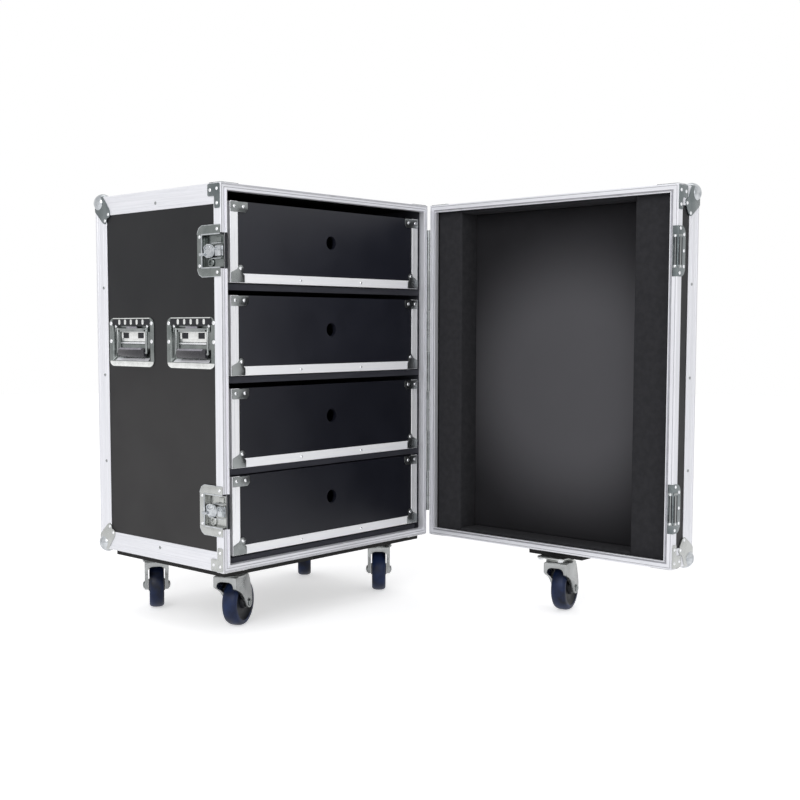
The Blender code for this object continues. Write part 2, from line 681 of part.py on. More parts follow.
def hinge(door):
    # Two leaves whose knuckles alternate along the pin; the pin belongs to the body's leaf
    z0, z1 = HINGE_ENDS
    length = (z1 - z0) / KNUCKLES
    near, far = DOOR_NEAR + GAP, DOOR_NEAR + GAP + PLATE
    body_leaf = part(
        "hinge_body_leaf", box(near, far, 0.0024, LEAF_WIDTH, z0, z1), ZINC, location=(PIN_X, PIN_Y, 0)
    )
    door_leaf = part("hinge_door_leaf", box(near, far, -LEAF_WIDTH, -0.0024, z0, z1), ZINC, door)
    knuckles = {body_leaf: [], door_leaf: []}
    for k in range(KNUCKLES):
        leaf, side = (body_leaf, 1) if k % 2 == 0 else (door_leaf, -1)
        low, high = z0 + k * length + KNUCKLE_GAP / 2, z0 + (k + 1) * length - KNUCKLE_GAP / 2
        knuckles[leaf].append(rod((0, 0, low), (0, 0, high), KNUCKLE_RADIUS, 10))
        knuckles[leaf].append(box(near, -0.0021, side * 0.0006, side * 0.004, low, high))
    for leaf, shapes in knuckles.items():
        join(leaf, shapes)
    cut(door_leaf, [rod((0, 0, z0 - 0.01), (0, 0, z1 + 0.01), PIN_RADIUS + GAP, 10)])
    join(body_leaf, [rod((0, 0, z0 + 0.001), (0, 0, z1 - 0.001), PIN_RADIUS, 10)])


def door_shell(door):
    far, near, mating, skin = DOOR_FAR, DOOR_NEAR, MATING, DOOR_SKIN
    edge = mating - GROOVE_DEPTH - SKIN - GAP
    outside = box(
        far + PANEL_OUT, near - PANEL_OUT, skin + PANEL_OUT, edge, BOTTOM + PANEL_OUT, TOP - PANEL_OUT
    )
    shell = part("door_shell", outside, LAMINATE, door)
    cut(shell, [box(
        far + PANEL_IN, near - PANEL_IN, skin + PANEL_IN, mating + 0.01, BOTTOM + PANEL_IN, TOP - PANEL_IN
    )])
    cut(shell, hook_slots())


def hook_slots():
    near, far = (DOOR_FAR + inset for inset in HOOK_SLOT)
    half = HOOK_HALF + 0.001
    return [
        box(near, far, MATING - HOOK_SLOT_DEPTH, MATING + 0.01, z - half, z + half)
        for z in LATCH_ZS.values()
    ]


def door_edging(door):
    start = MATING - DOOR_FLANGE - GAP
    cage = edging("door_edging", door, start, DOOR_SKIN, DOOR_FAR, DOOR_NEAR, DOOR_WINDOW_END)
    join(cage, ball_plates(DOOR_FAR, DOOR_NEAR, DOOR_SKIN, -1, DOOR_KITE, DOOR_KITE, DOOR_KITE))


def door_front_frame(door):
    def point(inset, depth):
        return (inset, MATING - depth)

    floor, under = GROOVE_DEPTH, GROOVE_DEPTH + SKIN
    leg = PANEL_IN + GAP
    profile = (
        point(0, 0), point(GROOVE_INSET, 0), point(GROOVE_INSET, floor), point(RIDGE_INSET, floor),
        point(RIDGE_INSET, -RIDGE_HEIGHT), point(RIDGE_END, -RIDGE_HEIGHT), point(RIDGE_END, under),
        point(leg + SKIN, under), point(leg + SKIN, DOOR_INNER_DEPTH), point(leg, DOOR_INNER_DEPTH),
        point(leg, under), point(0.0093, under), point(0.0093, SKIN),
        point(SKIN, SKIN), point(SKIN, DOOR_FLANGE), point(0, DOOR_FLANGE),
    )
    ring = mitred_frame(profile, DOOR_FAR, DOOR_NEAR, BOTTOM, TOP)
    frame = part("door_front_frame", ring, ALUMINIUM, door)
    cut(frame, hook_slots())
    join(frame, braces(DOOR_FAR, DOOR_NEAR, MATING, -1, DOOR_NEAR, BRACE))


def door_lining(door):
    # Foam that fills the door round a shallow pocket; pads stand on both sides of the pocket
    start, end = MATING - 0.017, DOOR_SKIN + BOX_INSET
    low, high = BOTTOM + BOX_INSET, TOP - BOX_INSET
    filling = box(DOOR_FAR + BOX_INSET, DOOR_NEAR - BOX_INSET, start, end, low, high)
    lining = part("door_lining", filling, FOAM, door)
    cut(lining, [box(
        DOOR_FAR + 0.104, DOOR_NEAR - 0.0805, start + 0.01, MATING - 0.071, BOTTOM + 0.0215, TOP - 0.0215
    )])


def keepers(door):
    outer, under = DOOR_FAR - GAP - PLATE, DOOR_FAR - GAP
    half = LATCH_HEIGHT / 2
    behind = DOOR_FLANGE + 2 * GAP
    for place_name, z in LATCH_ZS.items():
        plate = side_plate(outer, under, rounded_end(0.0008, KEEPER_REACH, half), MATING, z, way=-1)
        keeper = part(f"keeper_dish_{place_name}", plate, ZINC, door)
        backing = rounded_end(behind, KEEPER_REACH, half)
        filler = side_plate(outer + 0.0004, DOOR_FAR + SKIN, backing, MATING, z, way=-1)
        heads = [
            rivet((outer, MATING - depth, z + rise), (-1, 0, 0), 0.0036)
            for depth, rise in ((0.036, 0.030), (0.036, -0.012), (0.034, -0.042), (0.020, -0.044))
        ]
        join(keeper, [filler, *heads])


# Castors

def castor(name, x, y, heading, parent=None):
    # Plate and bearing stay still, the fork swivels about its kingpin, the wheel turns in the fork
    half_x, half_y = (size / 2 for size in PLATE_SIZE)
    if parent:
        half_x, half_y = half_y, half_x
    under = -GAP - PLATE_SHEET
    outline = rounded(-half_x, half_x, -half_y, half_y, PLATE_CORNER)
    sheet = slab([(a, b, under) for a, b in outline], [(a, b, -GAP) for a, b in outline])
    plate = part(f"castor_plate_{name}", sheet, ZINC, parent, (x, y, 0))
    bearing = [rod((0, 0, under + 0.0006), (0, 0, -0.012), 0.024, 16, 0.027)]
    bolt_x, bolt_y = half_x - 0.008, half_y - 0.008
    for sx in (-1, 1):
        for sy in (-1, 1):
            bolt = (sx * bolt_x, sy * bolt_y)
            bearing.append(rod((*bolt, under + 0.0006), (*bolt, under - 0.005), 0.0062, 6))
    join(plate, bearing)

    crown = rod((0, 0, -0.0124), (0, 0, -0.0185), 0.0265, 16)
    fork = part(f"castor_fork_{name}", turned(crown, heading), ZINC, parent, (x, y, 0))
    arms = []
    outline = (
        (-0.024, -0.0145), (0.024, -0.0145), (0.046, -0.074), (0.044, -0.084), (0.036, -0.0895),
        (0.027, -0.088), (0.021, -0.080), (-0.012, -0.034),
    )
    for way in (-1, 1):
        low = [(a, way * 0.0195, b) for a, b in outline]
        high = [(a, way * 0.0225, b) for a, b in outline]
        arms.append(turned(slab(low, high), heading))
    arms.append(turned(box(-0.022, 0.022, -0.021, 0.021, -0.0142, -0.0182), heading))
    axle_ends = ((CASTOR_TRAIL, -0.0265, AXLE_Z), (CASTOR_TRAIL, 0.0265, AXLE_Z))
    arms.append(turned(rod(*axle_ends, 0.005, 8), heading))
    nut_ends = ((CASTOR_TRAIL, 0.022, AXLE_Z), (CASTOR_TRAIL, 0.029, AXLE_Z))
    arms.append(turned(rod(*nut_ends, 0.0085, 6), heading))
    nut_ends = ((CASTOR_TRAIL, -0.022, AXLE_Z), (CASTOR_TRAIL, -0.028, AXLE_Z))
    arms.append(turned(rod(*nut_ends, 0.0085, 6), heading))
    join(fork, arms)

    half = (
        (0.0055, 0.0185), (0.013, 0.0185), (0.015, 0.0125), (0.0465, 0.0155), (0.050, 0.006),
    )
    profile = [(radius, -width) for radius, width in half] + list(reversed(half))
    angle = math.radians(heading)
    hub = (x + CASTOR_TRAIL * math.cos(angle), y + CASTOR_TRAIL * math.sin(angle), AXLE_Z)
    part(f"castor_wheel_{name}", turned(wheel_of(profile), heading), WHEEL_BLUE, parent, hub, smooth=True)


def door_castor(door):
    near, far = (MATING - depth for depth in DOOR_BOARD_DEPTHS)
    start, stop = (-reach for reach in DOOR_BOARD_REACH)
    part("door_castor_board", box(start, stop, near, far, 0, BOARD - GAP), DARK_BOARD, door)
    # The rest pose turns the door by 90 degrees, so the heading is turned back by as much
    castor("door", *DOOR_CASTOR, 13 - 90, door)


clear_scene()
body_panels()
body_edging()
body_front_frame()
boards()
slide_carriers()
for handle_name, handle_y in HANDLE_YS.items():
    handle("left", handle_name, LEFT, handle_y, 1)
    handle("right", handle_name, RIGHT, handle_y, -1)
for latch_name, latch_z in LATCH_ZS.items():
    latch(latch_name, latch_z)
for drawer_number, drawer_floor in enumerate(DRAWER_FLOORS, 1):
    drawer(drawer_number, drawer_floor)
hinge_pin = empty("hinge_pin", (PIN_X, PIN_Y, 0), DOOR_OPEN)
hinge(hinge_pin)
door_shell(hinge_pin)
door_edging(hinge_pin)
door_front_frame(hinge_pin)
door_lining(hinge_pin)
keepers(hinge_pin)
door_castor(hinge_pin)
for castor_name, (castor_x, castor_y, castor_heading) in CASTORS.items():
    castor(castor_name, castor_x, castor_y, castor_heading)
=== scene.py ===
# Flight case for wireless microphones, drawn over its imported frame. Metres, +Z up.

import math

import bmesh
import bpy
from mathutils import Matrix, Vector


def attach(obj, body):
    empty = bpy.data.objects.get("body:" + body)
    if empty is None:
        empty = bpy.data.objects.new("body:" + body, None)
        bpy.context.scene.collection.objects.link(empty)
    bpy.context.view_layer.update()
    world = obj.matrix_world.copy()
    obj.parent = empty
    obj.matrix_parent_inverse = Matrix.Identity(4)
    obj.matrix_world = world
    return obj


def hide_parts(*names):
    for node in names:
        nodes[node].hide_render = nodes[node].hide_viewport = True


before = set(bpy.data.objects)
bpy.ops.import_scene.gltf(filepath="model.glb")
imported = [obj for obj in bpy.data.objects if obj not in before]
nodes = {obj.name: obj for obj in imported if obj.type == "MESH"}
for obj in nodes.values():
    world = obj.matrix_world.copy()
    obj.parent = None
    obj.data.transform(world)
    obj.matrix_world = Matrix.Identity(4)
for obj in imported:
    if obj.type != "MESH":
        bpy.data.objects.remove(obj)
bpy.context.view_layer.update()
print("frame loaded:", len(nodes), "nodes")

case = {
    "left": -0.315, "right": 0.315, "front": -0.209, "rear": 0.209, "bottom": 0.012, "top": 0.782, "ground": -0.128
}
door = {"near": -0.004, "far": -0.634, "mating": -0.0005, "skin": -0.0895, "hinge": (0.319, -0.2095, 0)}
doorPlace = Matrix.Translation(door["hinge"]) @ Matrix.Rotation(math.radians(90), 4, "Z")
bodyPlace = Matrix.Identity(4)


# Materials: every pattern reads object coordinates

mottling = {
    "stops": (0.35, 0.65), "range": (0.3, 0.7), "fineness": 8, "fineDetail": 3.0, "relief": 0.0004,
    "brushed": ((6, 420), (8, 1600)), "lightPatchEdge": 0.62
}


def feed(tree, node, inputs):
    # Each input is linked to the socket given for it, or set to the value
    for key, value in inputs.items():
        if isinstance(value, bpy.types.NodeSocket):
            tree.links.new(value, node.inputs[key])
        else:
            node.inputs[key].default_value = value


def addNode(tree, kind, inputs):
    node = tree.nodes.new(kind)
    feed(tree, node, inputs)
    return node


def addNoise(tree, place, scale, detail):
    # Noise stretched by its own scale along each axis
    stretch = addNode(tree, "ShaderNodeMapping", {"Vector": place, "Scale": scale})
    inputs = {"Vector": stretch.outputs["Vector"], "Scale": 1.0, "Detail": detail}
    return addNode(tree, "ShaderNodeTexNoise", inputs).outputs["Fac"]


def evenly(value):
    return (value,) * 3 if isinstance(value, (int, float)) else value


def makeFinish(name, dark, light, metallic, rough, grain, bump, bumpScale=None, detail=4.0, specular=0.5):
    # A grain or bump scale of one number is the same along each axis
    grain = evenly(grain)
    made = bpy.data.materials.new(name)
    made.use_nodes = True
    tree = made.node_tree
    place = addNode(tree, "ShaderNodeTexCoord", {}).outputs["Object"]
    mottle = addNoise(tree, place, grain, detail)
    ramp = addNode(tree, "ShaderNodeValToRGB", {"Fac": mottle})
    for stop, at, tone in zip(ramp.color_ramp.elements, mottling["stops"], (dark, light)):
        stop.position = at
        stop.color = (*tone, 1)
    low, high = mottling["range"]
    spread = addNode(tree, "ShaderNodeMapRange", {"Value": mottle, "From Min": low, "From Max": high,
                                                  "To Min": rough[0], "To Max": rough[1]})
    scratches = evenly(bumpScale) or [value * mottling["fineness"] for value in grain]
    fine = addNoise(tree, place, scratches, mottling["fineDetail"])
    relief = addNode(tree, "ShaderNodeBump", {"Height": fine, "Strength": bump, "Distance": mottling["relief"]})
    feed(tree, tree.nodes["Principled BSDF"], {
        "Base Color": ramp.outputs["Color"], "Metallic": metallic, "Roughness": spread.outputs["Result"],
        "Specular IOR Level": specular, "Normal": relief.outputs["Normal"]})
    return made


def brushedFinish(name, axis, tones, metallic, rough, bump):
    # Grain and scratches that run along one axis
    grain, scratches = ([along if letter == axis else across for letter in "XYZ"]
                        for along, across in mottling["brushed"])
    return makeFinish(name, *tones, metallic, rough, grain, bump, scratches)


lacquer = (0, (0.34, 0.42), 9, 0.06, 900, 3.0)
bareWood = (0, (0.6, 0.8), (12, 60, 160), 0.4, (60, 300, 900), 4.0, 0.25)
zincSurface = (1, (0.22, 0.34), 30, 0.08)
aluminiumTones = ((0.74, 0.745, 0.785), (0.82, 0.825, 0.865))
paleAluminium = ((0.94, 0.95, 0.99), (0.98, 0.985, 1.0))

laminate = makeFinish("blackLaminate", (0.008, 0.0083, 0.01), (0.0098, 0.0101, 0.0118), 0, (0.46, 0.6), 9,
                      0.22, 900, 4.0, 0.25)
frontBoard = makeFinish("drawerBlack", (0.007, 0.0078, 0.014), (0.0083, 0.0092, 0.0162), *lacquer, 0.5)
# Painted shade: a darker, less glossy copy of the drawer board for the two lowest drawers
shadedFrontBoard = makeFinish("drawerBlackPaintedShade", (0.0054, 0.006, 0.0108), (0.0064, 0.0071, 0.0125), *lacquer, 0.36)
blackBoard = makeFinish("stainedPly", (0.008, 0.008, 0.008), (0.014, 0.013, 0.013), *bareWood)
shelfPly = makeFinish("shelfPly", (0.032, 0.033, 0.043), (0.044, 0.045, 0.056), *bareWood)
aluminiumX, aluminiumY, aluminiumZ = (
    brushedFinish(f"aluminiumAlong{axis}", axis, aluminiumTones, 0.45, (0.34, 0.46), 0.1) for axis in "XYZ")
trimX = brushedFinish("trimAlongX", "X", paleAluminium, 0.02, (0.36, 0.46), 0.08)
trimZ = brushedFinish("trimAlongZ", "Z", paleAluminium, 0.35, (0.26, 0.34), 0.08)
zinc = makeFinish("zincPlate", (0.4, 0.41, 0.4), (0.5, 0.51, 0.5), *zincSurface)
# Painted shade: a darker copy of the zinc plate for the upper corner plates and the keepers
shadedZinc = makeFinish("zincPlatePaintedShade", (0.125, 0.145, 0.15), (0.2, 0.222, 0.228), 1, (0.2, 0.32), 30, 0.08)
midZinc = makeFinish("zincPlateMiddle", (0.22, 0.235, 0.235), (0.31, 0.325, 0.325), *zincSurface)
forkZinc = makeFinish("zincPlateFork", (0.29, 0.3, 0.3), (0.38, 0.39, 0.39), *zincSurface)
# Painted shade: a darker copy of the zinc plate for the recessed handle dishes and the upper latch's dish
dishShadeZinc = makeFinish("zincPlateDishShade", (0.16, 0.178, 0.175), (0.235, 0.252, 0.248), *zincSurface)
brightNickel = makeFinish("brightNickel", (0.66, 0.67, 0.66), (0.8, 0.81, 0.8), 0.9, (0.16, 0.28), 60, 0.05)
nickel = makeFinish("nickelPlate", (0.36, 0.38, 0.4), (0.56, 0.58, 0.6), 1, (0.1, 0.22), 90, 0.05)
rivetSteel = makeFinish("rivetSteel", (0.66, 0.67, 0.69), (0.8, 0.81, 0.83), 1, (0.18, 0.3), 200, 0.05)
foam = makeFinish("blackFoam", (0.0215, 0.0215, 0.0243), (0.029, 0.0288, 0.0322), 0, (0.9, 1.0), 90, 0.45,
                  700, 5.0, 0.2)
felt = makeFinish("greyFelt", (0.0105, 0.0102, 0.0122), (0.0145, 0.0142, 0.0165), 0, (0.9, 1.0), 11, 0.3,
                  800, 4.0, 0.25)
grip = makeFinish("blackGrip", (0.016, 0.015, 0.02), (0.026, 0.025, 0.032), 0, (0.22, 0.32), 120, 0.1)
blueTyre = makeFinish("navyTyre", (0.005, 0.007, 0.016), (0.012, 0.026, 0.085), 0, (0.36, 0.5), 26, 0.2, specular=0.25)
# Painted highlight: the pale grey laid on top of the grip and above the pivot bar
gripHighlightPaint = makeFinish("gripHighlightPaint", (0.2, 0.195, 0.225), (0.27, 0.262, 0.3), 0, (0.26, 0.36), 120, 0.05)
# Painted shade: the darker grey laid in the bottoms of the frame grooves
grooveShadeGrey = makeFinish("grooveShadeGrey", (0.34, 0.34, 0.36), (0.43, 0.43, 0.455), 0.3, (0.4, 0.5), 60, 0.1)
blackHub = makeFinish("blackHub", (0.004, 0.005, 0.008), (0.008, 0.009, 0.013), 0, (0.4, 0.55), 80, 0.15, specular=0.3)


def paintLightPatch(material, centre, reach, tone):
    # A painted pool of light: a paler area that fades out from its centre
    tree = material.node_tree
    shader = tree.nodes["Principled BSDF"]
    under = shader.inputs["Base Color"].links[0].from_socket
    settle = addNode(tree, "ShaderNodeMapping", {
        "Vector": addNode(tree, "ShaderNodeTexCoord", {}).outputs["Object"],
        "Location": [-at / size for at, size in zip(centre, reach)], "Scale": [1 / size for size in reach]})
    fade = addNode(tree, "ShaderNodeTexGradient", {"Vector": settle.outputs["Vector"]})
    fade.gradient_type = "SPHERICAL"
    spread = addNode(tree, "ShaderNodeMapRange", {"Value": fade.outputs["Fac"], "From Max": mottling["lightPatchEdge"]})
    spread.interpolation_type = "SMOOTHSTEP"
    blend = tree.nodes.new("ShaderNodeMix")
    blend.data_type = "RGBA"
    feed(tree, blend, {0: spread.outputs["Result"], 6: under, 7: (*tone, 1)})
    feed(tree, shader, {"Base Color": blend.outputs[2]})


# Painted light: a paler pool on the felt back pad of the door lining
paintLightPatch(felt, (0.39, -0.56, 0.38), (0.6, 0.38, 0.37), (0.08, 0.079, 0.086))
# Painted light: the black laminate panels are paler towards their bottoms, fading out upwards
paintLightPatch(laminate, (0, 0, 0.14), (1.6, 1.6, 0.46), (0.0258, 0.025, 0.0257))
print("finishes ready")


# Mesh helpers

def pick(table, *keys):
    return [table[key] for key in keys]


def meshes(count):
    return [bmesh.new() for number in range(count)]


def rectangle(x0, y0, x1, y1):
    return (x0, y0), (x1, y0), (x1, y1), (x0, y1)


def mirrored(points):
    # Points of (radius, height) in turn on the other side of height 0
    return [(radius, -height) for radius, height in reversed(points)]


def corners(x0, x1):
    # The four corners of a box's outline, each with its directions inwards
    levels = ((case["bottom"], 1), (case["top"], -1))
    return [(x, inX, z, inZ) for x, inX in ((x0, 1), (x1, -1)) for z, inZ in levels]


def faceFrame(origin, across, up, out, place=bodyPlace):
    # Local X runs across, local Y up and local Z out of the face
    columns = (Vector(across), Vector(up), Vector(out), Vector(origin))
    rows = [[column[row] for column in columns] for row in range(3)]
    return place @ Matrix(rows + [[0, 0, 0, 1]])


def shifted(place, x, y, z, *scale):
    # Moved along the local axes, then stretched along them where a scale is given
    moved = place @ Matrix.Translation((x, y, z))
    return moved @ Matrix.Diagonal((*scale, 1)) if scale else moved


def absorb(bm, shape, place):
    bmesh.ops.transform(shape, matrix=place, verts=shape.verts)
    held = bpy.data.meshes.new("held")
    shape.to_mesh(held)
    shape.free()
    bm.from_mesh(held)
    bpy.data.meshes.remove(held)


def bevel(shape, parts, width, segments=2, affect="EDGES"):
    bmesh.ops.bevel(shape, geom=parts, offset=width, offset_type="OFFSET", segments=segments, profile=0.5,
                    affect=affect, material=-1, clamp_overlap=True)


def raiseFaces(shape, faces):
    # Extrudes the faces in place and gives the vertices of the copy
    grown = bmesh.ops.extrude_face_region(shape, geom=faces)
    return [item for item in grown["geom"] if isinstance(item, bmesh.types.BMVert)]


def newCube(low, high):
    shape = bmesh.new()
    matrix = Matrix.Translation((low + high) / 2) @ Matrix.Diagonal((*(high - low), 1))
    bmesh.ops.create_cube(shape, size=1, matrix=matrix)
    return shape


def addBlock(bm, low, high, place, edge=0.0):
    shape = newCube(Vector(low), Vector(high))
    if edge:
        bevel(shape, shape.edges[:], edge)
    absorb(bm, shape, place)


def addPair(bm, xs, ys, zs, place, edge=0.0):
    # Two blocks, one on each side of local Y 0
    for way in (-1, 1):
        low, high = sorted((way * ys[0], way * ys[1]))
        addBlock(bm, (xs[0], low, zs[0]), (xs[1], high, zs[1]), place, edge)


def addPlate(bm, outline, low, high, place, corner=0.0, edge=0.0):
    # A flat outline between two local heights, corners rounded first, then the edge of the outer side
    shape = bmesh.new()
    shape.faces.new([shape.verts.new((x, y, low)) for x, y in outline])
    if corner:
        bevel(shape, shape.verts[:], corner, 3, "VERTICES")
    raised = raiseFaces(shape, shape.faces[:])
    bmesh.ops.translate(shape, vec=(0, 0, high - low), verts=raised)
    if edge:
        upper = set(raised)
        rim = [line for line in shape.edges if line.verts[0] in upper and line.verts[1] in upper]
        bevel(shape, rim, edge)
    absorb(bm, shape, place)


def addRod(bm, start, end, radius, place, sides=16, edge=0.0):
    start, end = Vector(start), Vector(end)
    along = end - start
    shape = bmesh.new()
    matrix = Matrix.Translation((start + end) / 2) @ along.to_track_quat("Z", "Y").to_matrix().to_4x4()
    bmesh.ops.create_cone(shape, cap_ends=True, segments=sides, radius1=radius, radius2=radius, depth=along.length,
                          matrix=matrix)
    if edge:
        rims = [line for line in shape.edges if len(line.link_faces) == 2
                and any(len(face.verts) > 4 for face in line.link_faces)]
        bevel(shape, rims, edge)
    absorb(bm, shape, place)


def addRivet(bm, spot, place, radius=0.0036, height=0.0016, sides=14):
    # A flattened dome that sits on local Z of the spot
    shape = bmesh.new()
    matrix = Matrix.Translation(spot) @ Matrix.Diagonal((1, 1, height / radius, 1))
    bmesh.ops.create_uvsphere(shape, u_segments=sides, v_segments=8, radius=radius, matrix=matrix)
    absorb(bm, shape, place)


def addRivets(bm, spots, height, place, *size):
    for x, y in spots:
        addRivet(bm, (x, y, height), place, *size)


def addTurned(bm, profile, place, sides):
    # A closed outline of (radius, height) spun round local Z
    shape = bmesh.new()
    shape.faces.new([shape.verts.new((radius, 0, height)) for radius, height in profile])
    ring = shape.edges[:]
    bmesh.ops.delete(shape, geom=shape.faces[:], context="FACES_ONLY")
    bmesh.ops.spin(shape, geom=ring, cent=(0, 0, 0), axis=(0, 0, 1), angle=2 * math.pi, steps=sides, use_merge=True)
    bmesh.ops.remove_doubles(shape, verts=shape.verts, dist=0.00001)
    bmesh.ops.recalc_face_normals(shape, faces=shape.faces)
    absorb(bm, shape, place)


def addRun(bm, profile, length, place, mitreStart=False, mitreEnd=False, fold=0.0):
    # A closed profile of (inset, height) run along local X, with mitred ends where asked. The mitre follows the
    # inset, and near the outer faces of a folded angle whichever leg a point is on
    shape = bmesh.new()
    shape.faces.new([shape.verts.new((0, inset, height)) for inset, height in profile])
    far = set(raiseFaces(shape, shape.faces[:]))
    for vert in shape.verts:
        inset, drop = vert.co.y, -vert.co.z
        if fold and min(inset, drop) < fold:
            inset = max(inset, drop)
        if vert in far:
            vert.co.x = length - (inset if mitreEnd else 0)
        else:
            vert.co.x = inset if mitreStart else 0
    absorb(bm, shape, place)


def addObject(name, data):
    added = bpy.data.objects.new(name, data)
    bpy.context.scene.collection.objects.link(added)
    return added


def finishPiece(name, bm, material, body, slot, *replaced):
    bmesh.ops.recalc_face_normals(bm, faces=bm.faces)
    mesh = bpy.data.meshes.new(name)
    bm.to_mesh(mesh)
    bm.free()
    mesh.materials.append(material)
    mesh.shade_smooth()
    mesh.set_sharp_from_angle(angle=math.radians(35))
    piece = addObject(name, mesh)
    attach(piece, body)
    if replaced:
        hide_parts(*replaced)
    return piece


def finishZinc(body, *rows):
    # Pieces by name, mesh, material and replaced node, if any
    for name, bm, material, *replaced in rows:
        finishPiece(name, bm, material, body, "zinc", *replaced)


def refinish(material, *names):
    for name in names:
        mesh = nodes[name].data
        mesh.materials.clear()
        mesh.materials.append(material)


# Camera, light and floor

view = {"place": (-1.8284, -1.979, 0.4985), "yaw": 46.886, "pitch": -4.301, "roll": -0.00092,
        "lens": 53.1, "sensor": 36, "shift": (0.0582, 0.0211)}
light = {
    "world": 0.6, "aim": (0, -0.1, 0.35),
    "lamps": (("keyLamp", 44, (-2.9, -1.5, 1.9), 1.8), ("fillLamp", 9, (-1.5, -3.2, 1.1), 1.6),
        ("topLamp", 14, (0.2, -0.2, 3.0), 2.4))
}
ground = {"radius": 9, "gap": 0.0002, "tone": (0.86, 0.86, 0.87, 1), "rough": 0.9, "glow": 0.5}
white = (1, 1, 1, 1)


def makeCamera():
    data = bpy.data.cameras.new("camera")
    data.lens = view["lens"]
    data.sensor_width = view["sensor"]
    data.shift_x, data.shift_y = view["shift"]
    camera = addObject("camera", data)
    turn = Matrix.Rotation(-math.radians(view["yaw"]), 4, "Z")
    tilt = Matrix.Rotation(math.radians(90 + view["pitch"]), 4, "X")
    roll = Matrix.Rotation(view["roll"], 4, "Z")
    camera.matrix_world = Matrix.Translation(view["place"]) @ turn @ tilt @ roll
    bpy.context.scene.camera = camera


def makeLamp(name, power, at, size):
    data = bpy.data.lights.new(name, "AREA")
    data.energy = power
    data.size = size
    lamp = addObject(name, data)
    aim = Vector(light["aim"]) - Vector(at)
    lamp.matrix_world = Matrix.Translation(at) @ aim.to_track_quat("-Z", "Y").to_matrix().to_4x4()


def seenRays(tree, unseen, seen):
    # One level where a camera, glossy or transmission ray looks, another where the surface only lights others
    path = tree.nodes.new("ShaderNodeLightPath")
    looked = path.outputs["Is Camera Ray"]
    for kind in ("Is Glossy Ray", "Is Transmission Ray"):
        either = addNode(tree, "ShaderNodeMath", {0: looked, 1: path.outputs[kind]})
        either.operation = "MAXIMUM"
        looked = either.outputs[0]
    level = addNode(tree, "ShaderNodeMapRange", {"Value": looked, "To Min": unseen, "To Max": seen})
    return level.outputs["Result"]


def makeWorld():
    world = bpy.data.worlds.new("studio")
    world.use_nodes = True
    bpy.context.scene.world = world
    tree = world.node_tree
    feed(tree, tree.nodes["Background"], {"Color": white, "Strength": seenRays(tree, light["world"], 1.0)})


def makeFloor():
    shape = bmesh.new()
    bmesh.ops.create_circle(shape, cap_ends=True, segments=64, radius=ground["radius"])
    bmesh.ops.translate(shape, vec=(0, 0, case["ground"] - ground["gap"]), verts=shape.verts)
    mesh = bpy.data.meshes.new("studioFloor")
    shape.to_mesh(mesh)
    shape.free()
    paint = bpy.data.materials.new("paleFloor")
    paint.use_nodes = True
    tree = paint.node_tree
    feed(tree, tree.nodes["Principled BSDF"], {
        "Base Color": ground["tone"], "Roughness": ground["rough"], "Emission Color": white,
        "Emission Strength": seenRays(tree, 0.0, ground["glow"])})
    mesh.materials.append(paint)
    floor = addObject("studioFloor", mesh)


makeCamera()
makeWorld()
makeFloor()
for lamp in light["lamps"]:
    makeLamp(*lamp)
bpy.context.scene.view_settings.view_transform = "Standard"
print("camera, light and floor ready")


# Aluminium edging of both boxes, with ball corners and braces

edging = {
    "leg": 0.041, "sheet": 0.0017, "round": 0.0022, "ribs": (0.0085, 0.0145, 0.0285, 0.0345), "ribWidth": 0.0011,
    "sink": 0.00045, "fold": 0.004, "ball": 0.0205, "ballInset": 0.0125, "plateTop": 0.0012,
    "rivetHeights": (0.208, 0.397, 0.586), "rivet": (0.0034, 0.0015, 12), "rivetSpot": (0, 0, -0.0004),
    "rivetInset": 0.0265, "rivetParts": 4, "rivetMargin": 0.02
}


def edgingProfile():
    # Both legs as (inset, height): out along the top leg, back under it, down the side leg and up its outer side
    leg, sheet, curve, sink = pick(edging, "leg", "sheet", "round", "sink")
    top = [(curve, 0), (edging["ribs"][0] - 0.002, 0), (edging["ribs"][0] - 0.0014, -sink)]
    for rib in edging["ribs"]:
        half = edging["ribWidth"] / 2
        top += [(rib - half, -sink), (rib - half * 0.5, -sink * 0.1), (rib + half * 0.5, -sink * 0.1),
                (rib + half, -sink)]
    top += [(leg - 0.005, -sink), (leg - 0.0044, 0), (leg - 0.0006, 0), (leg, -0.0006), (leg, -sheet)]
    side = [(-height, -inset) for inset, height in reversed(top)]
    return [(curve * 0.3, -curve * 0.3), *top, (sheet, -sheet), *side]


kite = {
    "outline": ((0.0005, 0.0005), (0.03, 0.0005), (0.053, 0.03), (0.056, 0.04), (0.05, 0.047), (0.044, 0.046),
        (0.043, 0.054), (0.038, 0.06), (0.029, 0.057), (0.0005, 0.031)),
    "rivets": ((0.049, 0.039), (0.037, 0.052))
}
doorKite = {
    "outline": ((0.0005, 0.0005), (0.036, 0.0005), (0.046, 0.023), (0.058, 0.029), (0.061, 0.036), (0.056, 0.043),
        (0.047, 0.057), (0.039, 0.062), (0.031, 0.058), (0.0005, 0.038)),
    "rivets": ((0.054, 0.036), (0.039, 0.055))
}
smallKite = {
    "outline": ((0.0005, 0.0005), (0.036, 0.0005), (0.036, 0.012), (0.012, 0.036), (0.0005, 0.036)),
    "rivets": ((0.028, 0.007), (0.007, 0.028))
}
brace = {
    "outline": ((0.0015, 0.0015), (0.038, 0.0015), (0.038, 0.026), (0.018, 0.026), (0.018, 0.05), (0.0015, 0.05)),
    "rivets": ((0.01, 0.012), (0.03, 0.014), (0.01, 0.04))
}
stripBrace = {"outline": rectangle(0.0015, 0.0015, 0.013, 0.067), "rivets": ((0.007, 0.012), (0.007, 0.057))}
hingeBrace = {
    "outline": ((0.0015, 0.0015), (0.041, 0.0015), (0.041, 0.026), (0.018, 0.026), (0.018, 0.052), (0.0015, 0.052)),
    "rivets": ((0.01, 0.012), (0.032, 0.013), (0.01, 0.042))
}
